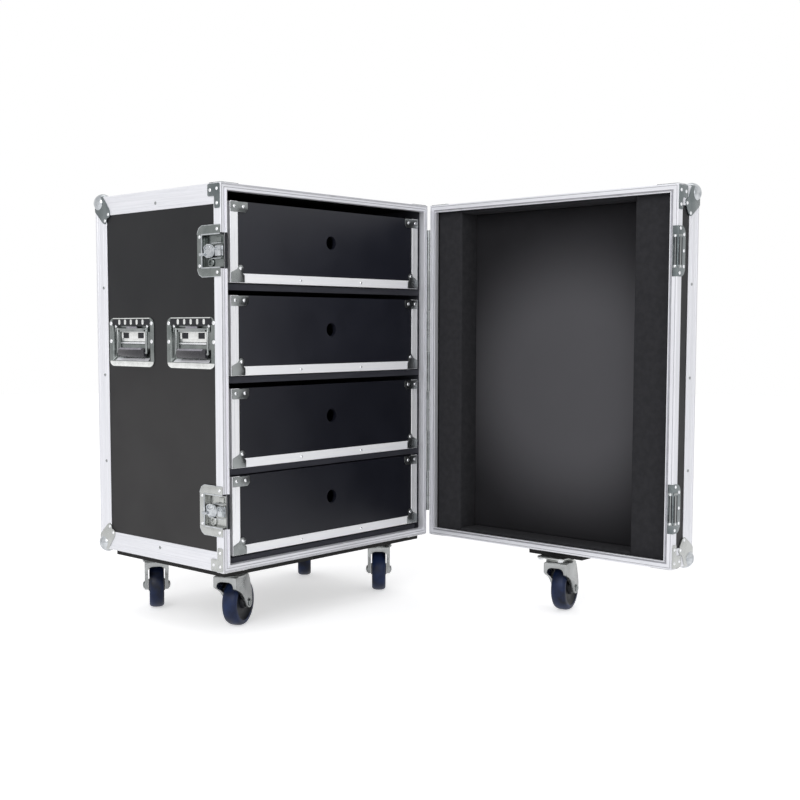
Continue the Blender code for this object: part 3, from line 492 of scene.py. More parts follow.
# Each box by its sides, its open and closed face, its finishes, its corner plates and the rivets along its depth
shells = {
    "body": {"carrier": "case_body", "xs": (case["left"], case["right"]), "ys": (case["front"], case["rear"]),
        "back": 1, "place": bodyPlace, "lip": 0.0208, "depth": aluminiumY, "across": aluminiumX, "side": kite,
        "top": kite, "bottom": smallKite, "lowBrace": stripBrace, "depthRivets": (-0.004,)},
    "door": {"carrier": "door", "xs": (door["far"], door["near"]), "ys": (door["mating"], door["skin"]), "back": -1,
        "place": doorPlace, "lip": 0.0183, "depth": aluminiumX, "across": aluminiumY, "side": doorKite,
        "top": doorKite, "bottom": doorKite, "lowBrace": brace, "depthRivets": ()}
}


def addCage(shell, depth, upright, across):
    # Runs of edging along the depth, the far uprights and the far cross edges
    (x0, x1), (yOpen, yEnd), back, place = pick(shell, "xs", "ys", "back", "place")
    profile, fold, bottom, top = edgingProfile(), edging["fold"], case["bottom"], case["top"]
    start = yOpen + back * shell["lip"]
    for x, inwards in ((x0, 1), (x1, -1)):
        for z, out in ((bottom, -1), (top, 1)):
            at = faceFrame((x, start, z), (0, back, 0), (inwards, 0, 0), (0, 0, out), place)
            addRun(depth, profile, abs(yEnd - start), at, False, True, fold)
        at = faceFrame((x, yEnd, bottom), (0, 0, 1), (inwards, 0, 0), (0, back, 0), place)
        addRun(upright, profile, top - bottom, at, True, True, fold)
    for z, out in ((bottom, -1), (top, 1)):
        at = faceFrame((x0, yEnd, z), (1, 0, 0), (0, -back, 0), (0, 0, out), place)
        addRun(across, profile, x1 - x0, at, True, True, fold)


def addCornerPlates(shell, upper, lower, balls, rivets):
    # Three plates and a ball at each closed corner, two braces at each open one
    (x0, x1), (yOpen, yEnd), back, place = pick(shell, "xs", "ys", "back", "place")
    inset, raised = edging["ballInset"], edging["plateTop"]
    for x, inX, z, inZ in corners(x0, x1):
        sheet, flat, flatBrace = upper, shell["top"], brace
        if inZ > 0:
            sheet, flat, flatBrace = lower, shell["bottom"], shell["lowBrace"]
        sideBrace = hingeBrace if x == x1 else brace
        inwards, upwards, sideways, endways = (inX, 0, 0), (0, 0, inZ), (-inX, 0, 0), (0, 0, -inZ)
        for plate, y, across, up, out, low in (
                (shell["side"], yEnd, (0, -back, 0), upwards, sideways, -0.0008),
                (flat, yEnd, (0, -back, 0), inwards, endways, -0.0008),
                (kite, yEnd, inwards, upwards, (0, back, 0), -0.0008),
                (sideBrace, yOpen, (0, back, 0), upwards, sideways, 0.0003),
                (flatBrace, yOpen, (0, back, 0), inwards, endways, 0.0003)):
            at = faceFrame((x, y, z), across, up, out, place)
            addPlate(sheet, plate["outline"], low, raised, at, 0.0035, 0.0005)
            addRivets(rivets, plate["rivets"], raised, at)
        ball = bmesh.new()
        centre = Matrix.Translation((x + inX * inset, yEnd - back * inset, z + inZ * inset))
        bmesh.ops.create_uvsphere(ball, u_segments=32, v_segments=20, radius=edging["ball"], matrix=centre)
        absorb(balls, ball, place)


def addEdgeRivets(shell, rivets):
    # Small rivets along the outer legs of the uprights, the cross edges and the depth edges
    (x0, x1), yEnd, back = shell["xs"], shell["ys"][1], shell["back"]
    inset, parts, margin = pick(edging, "rivetInset", "rivetParts", "rivetMargin")
    spots = []
    for x, inX in ((x0, 1), (x1, -1)):
        for z in edging["rivetHeights"]:
            spots += [((x, yEnd - back * inset, z), (0, back, 0), (0, 0, 1), (-inX, 0, 0)),
                      ((x + inX * inset, yEnd, z), (1, 0, 0), (0, 0, 1), (0, back, 0))]
    for z, out in ((case["bottom"], -1), (case["top"], 1)):
        for step in range(1, parts):
            x = x0 + margin + (x1 - x0 - 2 * margin) * step / parts
            spots += [((x, yEnd, z - out * inset), (1, 0, 0), (0, 0, 1), (0, back, 0)),
                      ((x, yEnd - back * inset, z), (1, 0, 0), (0, 1, 0), (0, 0, out))]
    for y in shell["depthRivets"]:
        for x, inX, z, inZ in corners(x0, x1):
            spots.append(((x, y, z + inZ * inset), (0, 1, 0), (0, 0, 1), (-inX, 0, 0)))
    for spot in spots:
        addRivet(rivets, edging["rivetSpot"], faceFrame(*spot, shell["place"]), *edging["rivet"])


def makeShell(name):
    shell = shells[name]
    depth, upright, across, upper, lower, balls, rivets, small = meshes(8)
    addCage(shell, depth, upright, across)
    addCornerPlates(shell, upper, lower, balls, rivets)
    addEdgeRivets(shell, small)
    carrier = shell["carrier"]
    finishPiece(f"{name}EdgingDepth", depth, shell["depth"], carrier, "aluminium", f"{name}_edging")
    finishPiece(f"{name}EdgingUpright", upright, aluminiumZ, carrier, "aluminium")
    finishPiece(f"{name}EdgingAcross", across, shell["across"], carrier, "aluminium")
    # The upper corner plates take the painted-shade copy of the zinc, the lower ones the plain zinc
    finishZinc(carrier, (name + "CornersUpper", upper, shadedZinc), (name + "CornersLower", lower, zinc),
               (name + "Balls", balls, nickel), (name + "Rivets", rivets, rivetSteel),
               (name + "EdgeRivets", small, midZinc))


makeShell("body")
makeShell("door")
print("edging, corners and braces made")


# Tongue and groove frames at the parting

surface = ((0, -0.0006), (0.0006, 0), (0.003, 0), (0.0033, -0.0006), (0.0041, -0.0006), (0.0044, 0))
tongue = ((0.0115, 0), (0.0115, 0.0026), (0.0119, 0.003), (0.0144, 0.003), (0.0148, 0.0026), (0.0148, -0.012),
          (0.0131, -0.012), (0.0131, -0.002))
tongueFrame = {
    "outline": (*surface, *tongue, (0.0017, -0.002), (0.0017, -0.0205), (0, -0.0205)),
    "inner": ((0.0102, 0), *tongue, (0.0102, -0.002)),
    "notchShade": ((0.01, 0.0003), (0.0113, 0.0003), (0.0113, 0.0027), (0.0119, 0.0031), (0.0144, 0.0031),
        (0.0151, 0.0026), (0.0151, -0.012), (0.0148, -0.012), (0.0148, 0.0026), (0.01, 0.0002)),
    "notches": ((0.1, 0.17), (0.615, 0.685)),
    "grooveShades": ((0.0012, 0.0009, 0.0003), (0.0031, 0.0012, -0.0004), (0.0082, 0.0011, 0.0003))
}
grooveFrame = {
    "outline": (*surface, (0.011, 0), (0.011, -0.0026), (0.0152, -0.0026), (0.0152, 0.0019), (0.0156, 0.0023),
        (0.0164, 0.0023), (0.0168, 0.0019), (0.0168, -0.0043), (0.0135, -0.0043), (0.0135, -0.014),
        (0.0118, -0.014), (0.0118, -0.0043), (0.0093, -0.0043), (0.0093, -0.0017), (0.0017, -0.0017),
        (0.0017, -0.018), (0, -0.018)),
    "inner": None, "notches": (), "grooveShades": ((0.0032, 0.0012, -0.0004), (0.0111, 0.004, -0.0024))
}


def addFrame(shell, across, upright, profile, notches, inner):
    # Runs round the open face. In the notches of the left upright only the inner profile runs, if there is one
    (x0, x1), depth, place, out = shell["xs"], shell["ys"][0], shell["place"], (0, -shell["back"], 0)
    bottom, top = case["bottom"], case["top"]
    for z, inwards in ((bottom, 1), (top, -1)):
        at = faceFrame((x0, depth, z), (1, 0, 0), (0, 0, inwards), out, place)
        addRun(across, profile, x1 - x0, at, True, True)
    at = faceFrame((x1, depth, bottom), (0, 0, 1), (-1, 0, 0), out, place)
    addRun(upright, profile, top - bottom, at, True, True)
    stops = [bottom, *[z for notch in notches for z in notch], top]
    for number, (low, high) in enumerate(zip(stops, stops[1:])):
        shape = inner if number % 2 else profile
        if shape:
            at = faceFrame((x0, depth, low), (0, 0, 1), (1, 0, 0), out, place)
            addRun(upright, shape, high - low, at, low == bottom, high == top)


def makeFrame(name, pattern):
    shell, notches = shells[name], pattern["notches"]
    across, upright, grooveShades = meshes(3)
    addFrame(shell, across, upright, pattern["outline"], notches, pattern["inner"])
    # Painted shade: darker strips in the bottoms of the frame grooves
    for inset, width, height in pattern["grooveShades"]:
        line = rectangle(inset, height, inset + width, height - 0.0003)
        addFrame(shell, grooveShades, grooveShades, line, notches, None)
    carrier = shell["carrier"]
    finishPiece(f"{name}FrameGrooveShades", grooveShades, grooveShadeGrey, carrier, "aluminium")
    # Painted shade: a dark skin over the inner profile in each notch of the left upright
    if notches:
        notchShade = bmesh.new()
        for low, high in notches:
            at = faceFrame((shell["xs"][0], shell["ys"][0], low), (0, 0, 1), (1, 0, 0), (0, -shell["back"], 0))
            addRun(notchShade, pattern["notchShade"], high - low, at)
        finishPiece(f"{name}FrameNotchShade", notchShade, blackHub, carrier, "aluminium")
    finishPiece(f"{name}FrameAcross", across, shell["across"], carrier, "aluminium", f"{name}_front_frame")
    finishPiece(f"{name}FrameUpright", upright, aluminiumZ, carrier, "aluminium")


makeFrame("body", tongueFrame)
makeFrame("door", grooveFrame)
print("front frames made")


# Recessed handles

handle = {
    "length": 0.156, "height": 0.104, "floor": 0.008, "z": 0.469, "ys": {"front": -0.114, "rear": 0.086},
    "frontTrim": 0.0038, "slope": 0.007, "bailHalf": 0.05, "bailDrop": 0.05, "wire": 0.0025, "grip": 0.0054,
    "gripTall": 1.75, "pivotRise": 0.028, "pivotInset": 0.0021, "pivotEnd": 0.0572, "ribStep": 0.0205,
    "ribWidth": 0.0068, "ribEnds": (0.037, 0.0485), "ribShade": (-0.0665, 0.0345, 0.0655, 0.05),
    "lugs": ((-0.0575, -0.0535), (0.0535, 0.0575)), "holes": (-0.026, 0.026),
    "stamps": ((-0.044, 0.044, 0.0205, 0.025), (-0.044, -0.036, 0.008, 0.021), (-0.016, 0.016, 0.008, 0.021),
        (0.036, 0.044, 0.008, 0.021), (-0.044, 0.044, 0.002, 0.0085)),
    "rivets": ((-0.072, 0.04), (0.07, 0.04), (-0.072, 0.002), (0.07, 0.002)),
    "pivotRivets": ((-0.055, 0.034), (0.055, 0.034))
}


def addDish(bm, x0, x1, place):
    # The outline is inset for the rim, its middle pressed in with sloped walls, and the sheet thickened
    rise = handle["height"] / 2
    shape = bmesh.new()
    shape.faces.new([shape.verts.new((x, y, 0)) for x, y in rectangle(x0, -rise, x1, rise)])
    bevel(shape, shape.verts[:], 0.015, 6, "VERTICES")
    middle = shape.faces[:]
    bmesh.ops.inset_region(shape, faces=middle, thickness=0.012, use_even_offset=True, use_boundary=True)
    pressed = raiseFaces(shape, middle)
    bmesh.ops.delete(shape, geom=[face for face in middle if face.is_valid], context="FACES_ONLY")
    bmesh.ops.translate(shape, vec=(0, 0, -handle["floor"] + 0.0002), verts=pressed)
    for vert in pressed:
        vert.co.x *= 0.975
        if vert.co.y < 0:
            vert.co.y += handle["slope"]
    bmesh.ops.recalc_face_normals(shape, faces=shape.faces)
    bmesh.ops.solidify(shape, geom=shape.faces[:], thickness=0.0011)
    top = max(vert.co.z for vert in shape.verts)
    bmesh.ops.translate(shape, vec=(0, 0, -top), verts=shape.verts)
    sharp = [line for line in shape.edges if len(line.link_faces) == 2 and line.calc_face_angle(0) > 0.6]
    bevel(shape, sharp, 0.0005)
    absorb(bm, shape, place)


def addStampings(low, high, place, dish, heads, dark, bright, shine):
    # Ribs, bright edges painted as highlights, lugs and rivets on the dish between its two ends, with painted shade in
    # the rib gaps and holes
    rise, half = handle["height"] / 2, handle["ribWidth"] / 2
    (ribLow, ribHigh), (holeLow, holeHigh) = handle["ribEnds"], (0.0085, 0.0205)
    # Painted shade: a dark sheet under the ribs shows as shade in their gaps
    addPlate(dark, rectangle(*handle["ribShade"]), 0.00002, 0.0002, place, 0.005)
    for number in range(-2, 3):
        x = number * handle["ribStep"]
        addPlate(bright, rectangle(x - half, ribLow, x + half, ribHigh), -0.0006, 0.0009, place, 0.003, 0.0007)
    # Painted highlights: a bright lip along the lower rim and a bright line along the top rim
    foot = ((low + 0.013, 0.0006 - rise), (high - 0.013, 0.0006 - rise), (high - 0.004, 0.005 - rise),
            (high - 0.0012, 0.0115 - rise), (low + 0.0012, 0.0115 - rise), (low + 0.004, 0.005 - rise))
    addPlate(bright, foot, -0.0004, 0.0005, place, 0.002, 0.0003)
    addPlate(bright, rectangle(low + 0.014, rise - 0.0024, high - 0.014, rise - 0.0008), -0.0004, 0.0005, place)
    # Painted highlight: a pale plate on the lower sloped wall
    wall = shifted(place, 0, 0.0122 - rise, -0.0006) @ Matrix.Rotation(math.radians(-48), 4, "X")
    sloped = ((low + 0.02, 0.0004), (high - 0.02, 0.0004), (high - 0.022, 0.0088), (low + 0.022, 0.0088))
    addPlate(shine, sloped, 0.0003, 0.0008, wall, 0.001)
    for x0, x1 in handle["lugs"]:
        addBlock(dish, (x0, 0.022, -0.0078), (x1, 0.034, -0.0002), place, 0.0006)
    for x0, x1, y0, y1 in handle["stamps"]:
        addBlock(bright, (x0, y0, -0.0079), (x1, y1, -0.0058), place, 0.0006)
    addRod(heads, (-0.043, -0.0015, -0.0064), (0.043, -0.0015, -0.0064), 0.0028, place, 16, 0.0006)
    # Painted shade: dark plates in the two stamped holes
    for x in handle["holes"]:
        addPlate(dark, rectangle(x - 0.01, holeLow, x + 0.01, holeHigh), -0.0072, -0.0066, place, 0.001)
    addRivets(heads, handle["rivets"], 0, place, 0.0044, 0.0018)
    addRivets(heads, handle["pivotRivets"], -0.0008, place, 0.0034)


def addBail(place, bail, rubber, sheen):
    reach, drop, wire = handle["bailHalf"], handle["pivotRise"] - handle["bailDrop"], handle["wire"]
    depth, rise = -handle["pivotInset"], handle["pivotRise"]
    for way in (-1, 1):
        x = way * reach
        addRod(bail, (x, rise + wire, depth), (x, drop - wire * 0.6, depth), wire, place, 14, 0.0008)
        addRod(bail, (way * (reach + wire * 0.6), drop, depth), (way * 0.04, drop, depth), wire, place, 14, 0.0008)
        addRod(bail, (x, rise, depth), (way * handle["pivotEnd"], rise, depth), wire * 0.8, place, 12)
    addRod(bail, (-reach, rise, depth), (reach, rise, depth), wire * 0.85, place, 12)
    addBlock(bail, (-0.043, rise - 0.006, depth - 0.0022), (0.043, rise + 0.001, depth + 0.0012), place, 0.0009)
    # Painted highlights: a pale block above the pivot bar and a pale strip along the top of the grip
    addBlock(sheen, (-0.018, rise + 0.001, depth - 0.0012), (0.018, rise + 0.0055, depth + 0.0018), place, 0.0009)
    height, front = drop + 0.0078, depth + 0.002
    addRod(sheen, (-reach + 0.007, height, front), (reach - 0.014, height, front), 0.0026, place, 12, 0.0008)
    stretch = shifted(place, 0, drop, depth, 1, handle["gripTall"], 1)
    addRod(rubber, (-reach + 0.004, 0, 0), (reach - 0.004, 0, 0), handle["grip"], stretch, 24, 0.0014)


def makeHandle(side, end):
    outward = -1 if side == "left" else 1
    place = faceFrame((case[side] - outward * 0.0005, handle["ys"][end], handle["z"]), (0, outward, 0), (0, 0, 1),
                      (outward, 0, 0))
    low, high = -handle["length"] / 2, handle["length"] / 2
    if end == "front" and side == "left":
        high -= handle["frontTrim"]
    elif end == "front":
        low += handle["frontTrim"]
    dish, heads, dark, bright, shine, bail, rubber, sheen = meshes(8)
    addDish(dish, low, high, place)
    addStampings(low, high, place, dish, heads, dark, bright, shine)
    addBail(place, bail, rubber, sheen)
    name, body = f"{side}{end.title()}", f"bail_{side}_{end}"
    finishZinc("case_body", (f"handleDish{name}", dish, dishShadeZinc, f"handle_dish_{side}_{end}"),
               (f"handleRibsAndHighlights{name}", bright, brightNickel), (f"handleSlopeHighlight{name}", shine, aluminiumY),
               (f"handleRibShade{name}", dark, blackHub), (f"handleRivets{name}", heads, rivetSteel))
    finishZinc(body, (f"handleBail{name}", bail, midZinc, f"handle_bail_{side}_{end}"),
               (f"handleGrip{name}", rubber, grip), (f"handleGripHighlight{name}", sheen, gripHighlightPaint))


for side in ("left", "right"):
    for end in ("front", "rear"):
        makeHandle(side, end)
print("handles made")


# Butterfly latches and their keepers

latch = {
    "zs": {"lower": 0.135, "upper": 0.65}, "reach": 0.07, "half": 0.05, "tubReach": 0.058, "tubHalf": 0.032,
    "floor": 0.0099, "sheet": 0.0012, "rim": 0.0006, "stud": (0.038, -0.0225, 0), "pivot": 0.036, "wing": 0.0172,
    "waist": 0.013, "wingSteps": 36, "hookHalf": 0.01,
    "rivets": ((0.01, 0.042), (0.01, -0.042), (0.063, 0.0285), (0.063, -0.0285)),
    "wingArc": ((0.0088, -0.0006), (0.0118, -0.0006), (0.0114, 0.001), (0.0092, 0.001)),
    "hookArc": ((0.006, -0.0006), (0.0088, -0.0006), (0.0084, 0.0009), (0.0064, 0.0009)),
    "ring": ((0.0052, 0), (0.0092, 0), (0.0092, 0.0024), (0.0084, 0.003), (0.0052, 0.003)),
    "lever": (((0.011, -0.0095, -0.0012), (0.0205, -0.0035, 0.0028)),
        ((0.0185, -0.0095, 0.0012), (0.0255, -0.0035, 0.0036))),
    "hook": ((0.0012, 0.0252, -0.0091, -0.0068), (0.0022, 0.0048, -0.0068, -0.0012),
        (0.0022, 0.0182, -0.0034, -0.0014))
}


def addLatchDish(place, dish, edges):
    reach, half, tub, rise = pick(latch, "reach", "half", "tubReach", "tubHalf")
    floor, sheet, rim = pick(latch, "floor", "sheet", "rim")
    for way in (-1, 1):
        outline = ((0.0008, way * rise), (tub - 0.001, way * rise), (reach, way * rise),
                   (reach - 0.0005, way * (half - 0.014)), (reach - 0.005, way * (half - 0.005)),
                   (reach - 0.014, way * half), (0.0008, way * half))
        addPlate(dish, outline, -sheet, 0, place, 0.0, 0.0004)
        border = [(x if x < 0.001 else x + 0.0011 * (x / reach) ** 2, y + way * (0.0012 if abs(y) > half - 0.02 else 0))
                  for x, y in outline[2:]] + [(0.0008, way * rise)]
        addPlate(edges, border, -sheet, -0.0003, place, 0.0, 0.0002)
    addPlate(dish, rectangle(tub - 0.001, -rise, reach, rise), -sheet, 0, place)
    addBlock(dish, (0.0008, -rise, -floor - 0.001), (tub, rise, -floor), place)
    addBlock(dish, (tub - sheet, -rise, -floor), (tub, rise, rim), place, 0.0005)
    addPair(dish, (0.001, tub), (rise, rise - sheet), (-floor, rim), place, 0.0005)
    addPair(dish, (0.003, 0.024), (0.0106, 0.013), (-floor, -0.0062), place, 0.0005)
    addBlock(dish, (0.006, 0.017, -floor), (0.018, 0.028, -floor + 0.003), place, 0.0006)
    addTurned(dish, [(radius, height - floor) for radius, height in latch["ring"]], shifted(place, *latch["stud"]), 24)
    addBlock(edges, (tub - 0.004, -rise - 0.001, -0.0002), (tub - 0.0002, rise + 0.001, 0.0009), place, 0.0005)
    addPair(edges, (0.0012, tub - 0.0012), (rise - 0.0004, rise + 0.002), (-0.0002, 0.0009), place, 0.0005)
    addPair(edges, (0.002, 0.03), (0.014, 0.0156), (-0.004, -0.0018), place, 0.0005)


def addWing(wing, spot):
    outline = []
    for step in range(latch["wingSteps"]):
        angle = 2 * math.pi * step / latch["wingSteps"]
        radius = latch["wing"] - (latch["wing"] - latch["waist"]) * abs(math.sin(angle)) ** 3
        outline.append((radius * math.cos(angle), radius * math.sin(angle)))
    addPlate(wing, outline, -0.0026, -0.0008, spot, 0.0, 0.0006)
    addRod(wing, (0, 0, -latch["floor"] + 0.0004), (0, 0, -0.002), 0.0042, spot, 20)
    addTurned(wing, latch["wingArc"], shifted(spot, 0.0015, 0.0065, -0.0004, 1.15, 0.52, 1), 32)
    addPair(wing, (-0.0062, 0.0062), (0.0112, 0.0138), (-0.0012, 0.0011), spot, 0.0009)
    for low, high in latch["lever"]:
        addBlock(wing, low, high, spot, 0.001)
    addRivet(wing, (0, 0.0075, -0.0008), spot, 0.0042, 0.0018, 20)


def addHook(hook, place):
    side = latch["hookHalf"]
    for x0, x1, z0, z1 in latch["hook"]:
        addBlock(hook, (x0, -side, z0), (x1, side, z1), place, 0.0006)
    addTurned(hook, latch["hookArc"], shifted(place, 0.0105, 0.0045, -0.0012, 0.9, 0.55, 1), 32)


def makeLatch(level):
    place = faceFrame((case["left"] - 0.0015, case["front"], latch["zs"][level]), (0, 1, 0), (0, 0, 1), (-1, 0, 0))
    dish, heads, edges, wing, hook = meshes(5)
    addLatchDish(place, dish, edges)
    addRivets(heads, latch["rivets"], 0, place)
    addWing(wing, shifted(place, latch["pivot"], 0, 0))
    addHook(hook, place)
    # The upper latch's dish takes the painted-shade zinc, the lower one the plain zinc
    plating, name = dishShadeZinc if level == "upper" else zinc, level.title()
    finishZinc("case_body", (f"latchEdges{name}", edges, nickel),
               (f"latchDish{name}", dish, plating, f"latch_dish_{level}"), (f"latchRivets{name}", heads, rivetSteel))
    finishPiece(f"latchWing{name}", wing, nickel, f"wing_{level}", "chrome", f"latch_wing_{level}")
    finishPiece(f"latchHook{name}", hook, nickel, f"hook_{level}", "chrome", f"latch_hook_{level}")


keeper = {
    "reach": 0.03, "half": 0.05, "face": 0.0108, "sheet": 0.0004, "mouth": 0.0115, "slot": 0.027,
    "faceRivets": ((0.0055, -0.03), (0.0055, 0.03)), "faceSlots": ((0.0008, 0.0032), (0.0062, 0.0082)),
    "wallSlots": ((0.0008, 0.005), (0.011, 0.015)),
    "rivets": ((0.0235, 0.033), (0.0235, 0.001), (0.024, -0.03), (0.0085, -0.03), (0.009, 0.045), (0.008, -0.043))
}


def makeKeeper(level):
    z = latch["zs"][level]
    wall = faceFrame((door["far"] - 0.0015, door["mating"], z), (0, -1, 0), (0, 0, 1), (-1, 0, 0), doorPlace)
    face = faceFrame((door["far"], door["mating"], z), (1, 0, 0), (0, 0, 1), (0, 1, 0), doorPlace)
    half, reach, sheet, mouth, slot = pick(keeper, "half", "reach", "sheet", "mouth", "slot")
    plate, heads, slotShade, bars = meshes(4)
    outline = ((0.0002, -half), (reach - 0.013, -half), (reach - 0.005, -half + 0.004), (reach, -half + 0.013),
               (reach, half - 0.013), (reach - 0.005, half - 0.004), (reach - 0.013, half), (0.0002, half))
    addPlate(plate, outline, -0.0012, 0, wall, 0.002, 0.0004)
    addBlock(plate, (0.0005, -0.03, -0.0002), (0.012, 0.03, 0.001), wall, 0.0005)
    for x0, x1, low, high in ((-0.0014, keeper["face"], -half, -mouth), (-0.0014, keeper["face"], mouth, half),
                              (-0.0014, 0.0044, -mouth, mouth), (0.0084, keeper["face"], -mouth, mouth)):
        addBlock(plate, (x0, low, -0.0003), (x1, high, sheet), face, 0.00015)
    # Painted shade: dark strips on the face and wall where the keeper's slots open
    for low, high in keeper["faceSlots"]:
        addBlock(slotShade, (low, -slot, sheet - 0.0002), (high, slot, sheet + 0.0001), face)
    for low, high in keeper["wallSlots"]:
        addBlock(slotShade, (low, -slot, 0.0006), (high, slot, 0.0012), wall)
    addBlock(bars, (0.0036, -slot, sheet - 0.0002), (0.0058, slot, sheet + 0.0001), face)
    addBlock(bars, (0.0056, -slot, 0.0006), (0.0104, slot, 0.0013), wall)
    addPair(bars, (0.0006, 0.01), (0.029, 0.033), (sheet - 0.0002, sheet + 0.0001), face)
    addPair(bars, (0.0006, 0.016), (0.029, 0.033), (0.0006, 0.0013), wall, 0.0004)
    addRivets(heads, keeper["rivets"], 0, wall)
    addRivets(heads, keeper["faceRivets"], sheet - 0.0003, face, 0.003, 0.0007)
    name = level.title()
    # The keeper plate takes the painted-shade copy of the zinc plate
    finishZinc("door", (f"keeperSlotShade{name}", slotShade, blackHub), (f"keeperBars{name}", bars, midZinc),
               (f"keeper{name}", plate, shadedZinc, f"keeper_dish_{level}"), (f"keeperRivets{name}", heads, rivetSteel))


for level in ("lower", "upper"):
    makeLatch(level)
    makeKeeper(level)
print("latches and keepers made")


# Drawers: trims, brackets and rivets, numbered from the bottom

drawer = {
    "left": -0.286, "right": 0.286, "face": -0.204, "height": 0.16, "floors": (0.0423, 0.2185, 0.4037, 0.5887),
    "leg": 0.02, "lowLeg": 0.0185, "sheet": 0.0016, "back": 0.019, "plate": 0.0012,
    "lowBracket": ((0.0008, 0.0008), (0.036, 0.0008), (0.036, 0.015), (0.03, 0.02), (0.034, 0.029), (0.029, 0.035),
        (0.022, 0.035), (0.017, 0.027), (0.0008, 0.02)),
    "footRivets": ((-0.093, 0.0092), (0.093, 0.0092))
}


def trimProfile(leg):
    sheet, back = drawer["sheet"], drawer["back"]
    return [(0.0006, 0), (leg - 0.0005, 0), (leg, -0.0005), (leg, -sheet), (sheet, -sheet), (sheet, -back),
            (0, -back), (0, -0.0006)]


def makeDrawerTrim(number):
    z0, top = drawer["floors"][number - 1], drawer["height"]
    left, right, face = pick(drawer, "left", "right", "face")
    out = (0, -1, 0)
    uprights, foot, brackets, heads = meshes(4)
    at = faceFrame((left, face, z0), (1, 0, 0), (0, 0, 1), out)
    addRun(foot, trimProfile(drawer["lowLeg"]), right - left, at, True, True)
    upper = ((0.0008, top - 0.021), (0.0008, top - 0.0008), (0.0456, top - 0.0008), (0.0456, top - 0.015),
             (0.04, top - 0.021))
    for x, inwards in ((left, 1), (right, -1)):
        at = faceFrame((x, face, z0), (0, 0, 1), (inwards, 0, 0), out)
        addRun(uprights, trimProfile(drawer["leg"]), top, at, True)
        spot = faceFrame((x, face, z0), (inwards, 0, 0), (0, 0, 1), out)
        addPlate(brackets, upper, -0.0002, drawer["plate"], spot, 0.0015, 0.0004)
        addPlate(brackets, drawer["lowBracket"], -0.0002, drawer["plate"], spot, 0.0012, 0.0004)
        addRivets(heads, ((0.01, top - 0.01), (0.034, top - 0.01), (0.026, 0.028)), drawer["plate"], spot)
    addRivets(heads, drawer["footRivets"], 0, faceFrame((0, face, z0), (1, 0, 0), (0, 0, 1), out), 0.003)
    body = f"drawer_{number}"
    finishPiece(f"drawerUprights{number}", uprights, trimZ, body, "aluminium", f"drawer_trim_{number}")
    finishPiece(f"drawerFoot{number}", foot, trimX, body, "aluminium")
    finishZinc(body, (f"drawerBrackets{number}", brackets, midZinc), (f"drawerRivets{number}", heads, rivetSteel))


for number in range(1, 5):
    makeDrawerTrim(number)
print("drawer trims made")


# Foam lining of the door, each pad by its low and high corner, its number of cuts, its swell and its cloth

lining = {"edge": 0.0035, "pads": (
    ("latchSidePad", (-0.622, -0.0775, 0.024), (-0.5303, -0.0178, 0.77), 12, 0.0008, foam, "door_lining"),
    ("hingeSidePad", (-0.0842, -0.0775, 0.024), (-0.016, -0.0178, 0.77), 12, 0.0008, foam),
    ("topPad", (-0.53, -0.0775, 0.7605), (-0.0845, -0.0178, 0.77), 8, 0.0004, foam),
    ("bottomPad", (-0.53, -0.0775, 0.024), (-0.0845, -0.0178, 0.0335), 8, 0.0004, foam),
    ("backPad", (-0.53, -0.0775, 0.0338), (-0.0845, -0.0717, 0.7602), 10, 0.0005, felt))}


def makePad(name, low, high, cuts, swell, cloth, *replaced):
    # A foam block with rounded edges whose faces swell a little
    low, high = Vector(low), Vector(high)
    size = high - low
    shape = newCube(low, high)
    bevel(shape, shape.edges[:], min(lining["edge"], min(size) * 0.4), 3)
    longest = max(range(3), key=lambda axis: size[axis])
    for step in range(1, cuts):
        spot = low.copy()
        spot[longest] += size[longest] * step / cuts
        normal = Vector((0, 0, 0))
        normal[longest] = 1
        bmesh.ops.bisect_plane(shape, geom=shape.verts[:] + shape.edges[:] + shape.faces[:], plane_co=spot,
                               plane_no=normal)
    middle = (low + high) / 2
    for vert in shape.verts:
        share = (vert.co[longest] - low[longest]) / size[longest]
        wave = math.sin(share * math.pi * cuts * 0.5) * swell
        vert.co.y -= wave * 0.5 * (1 if vert.co.y > middle.y else 0)
    bmesh.ops.transform(shape, matrix=doorPlace, verts=shape.verts)
    pad = finishPiece(name, shape, cloth, "door", "foam", *replaced)


for pad in lining["pads"]:
    makePad(*pad)
print("foam lining made")


# Castors

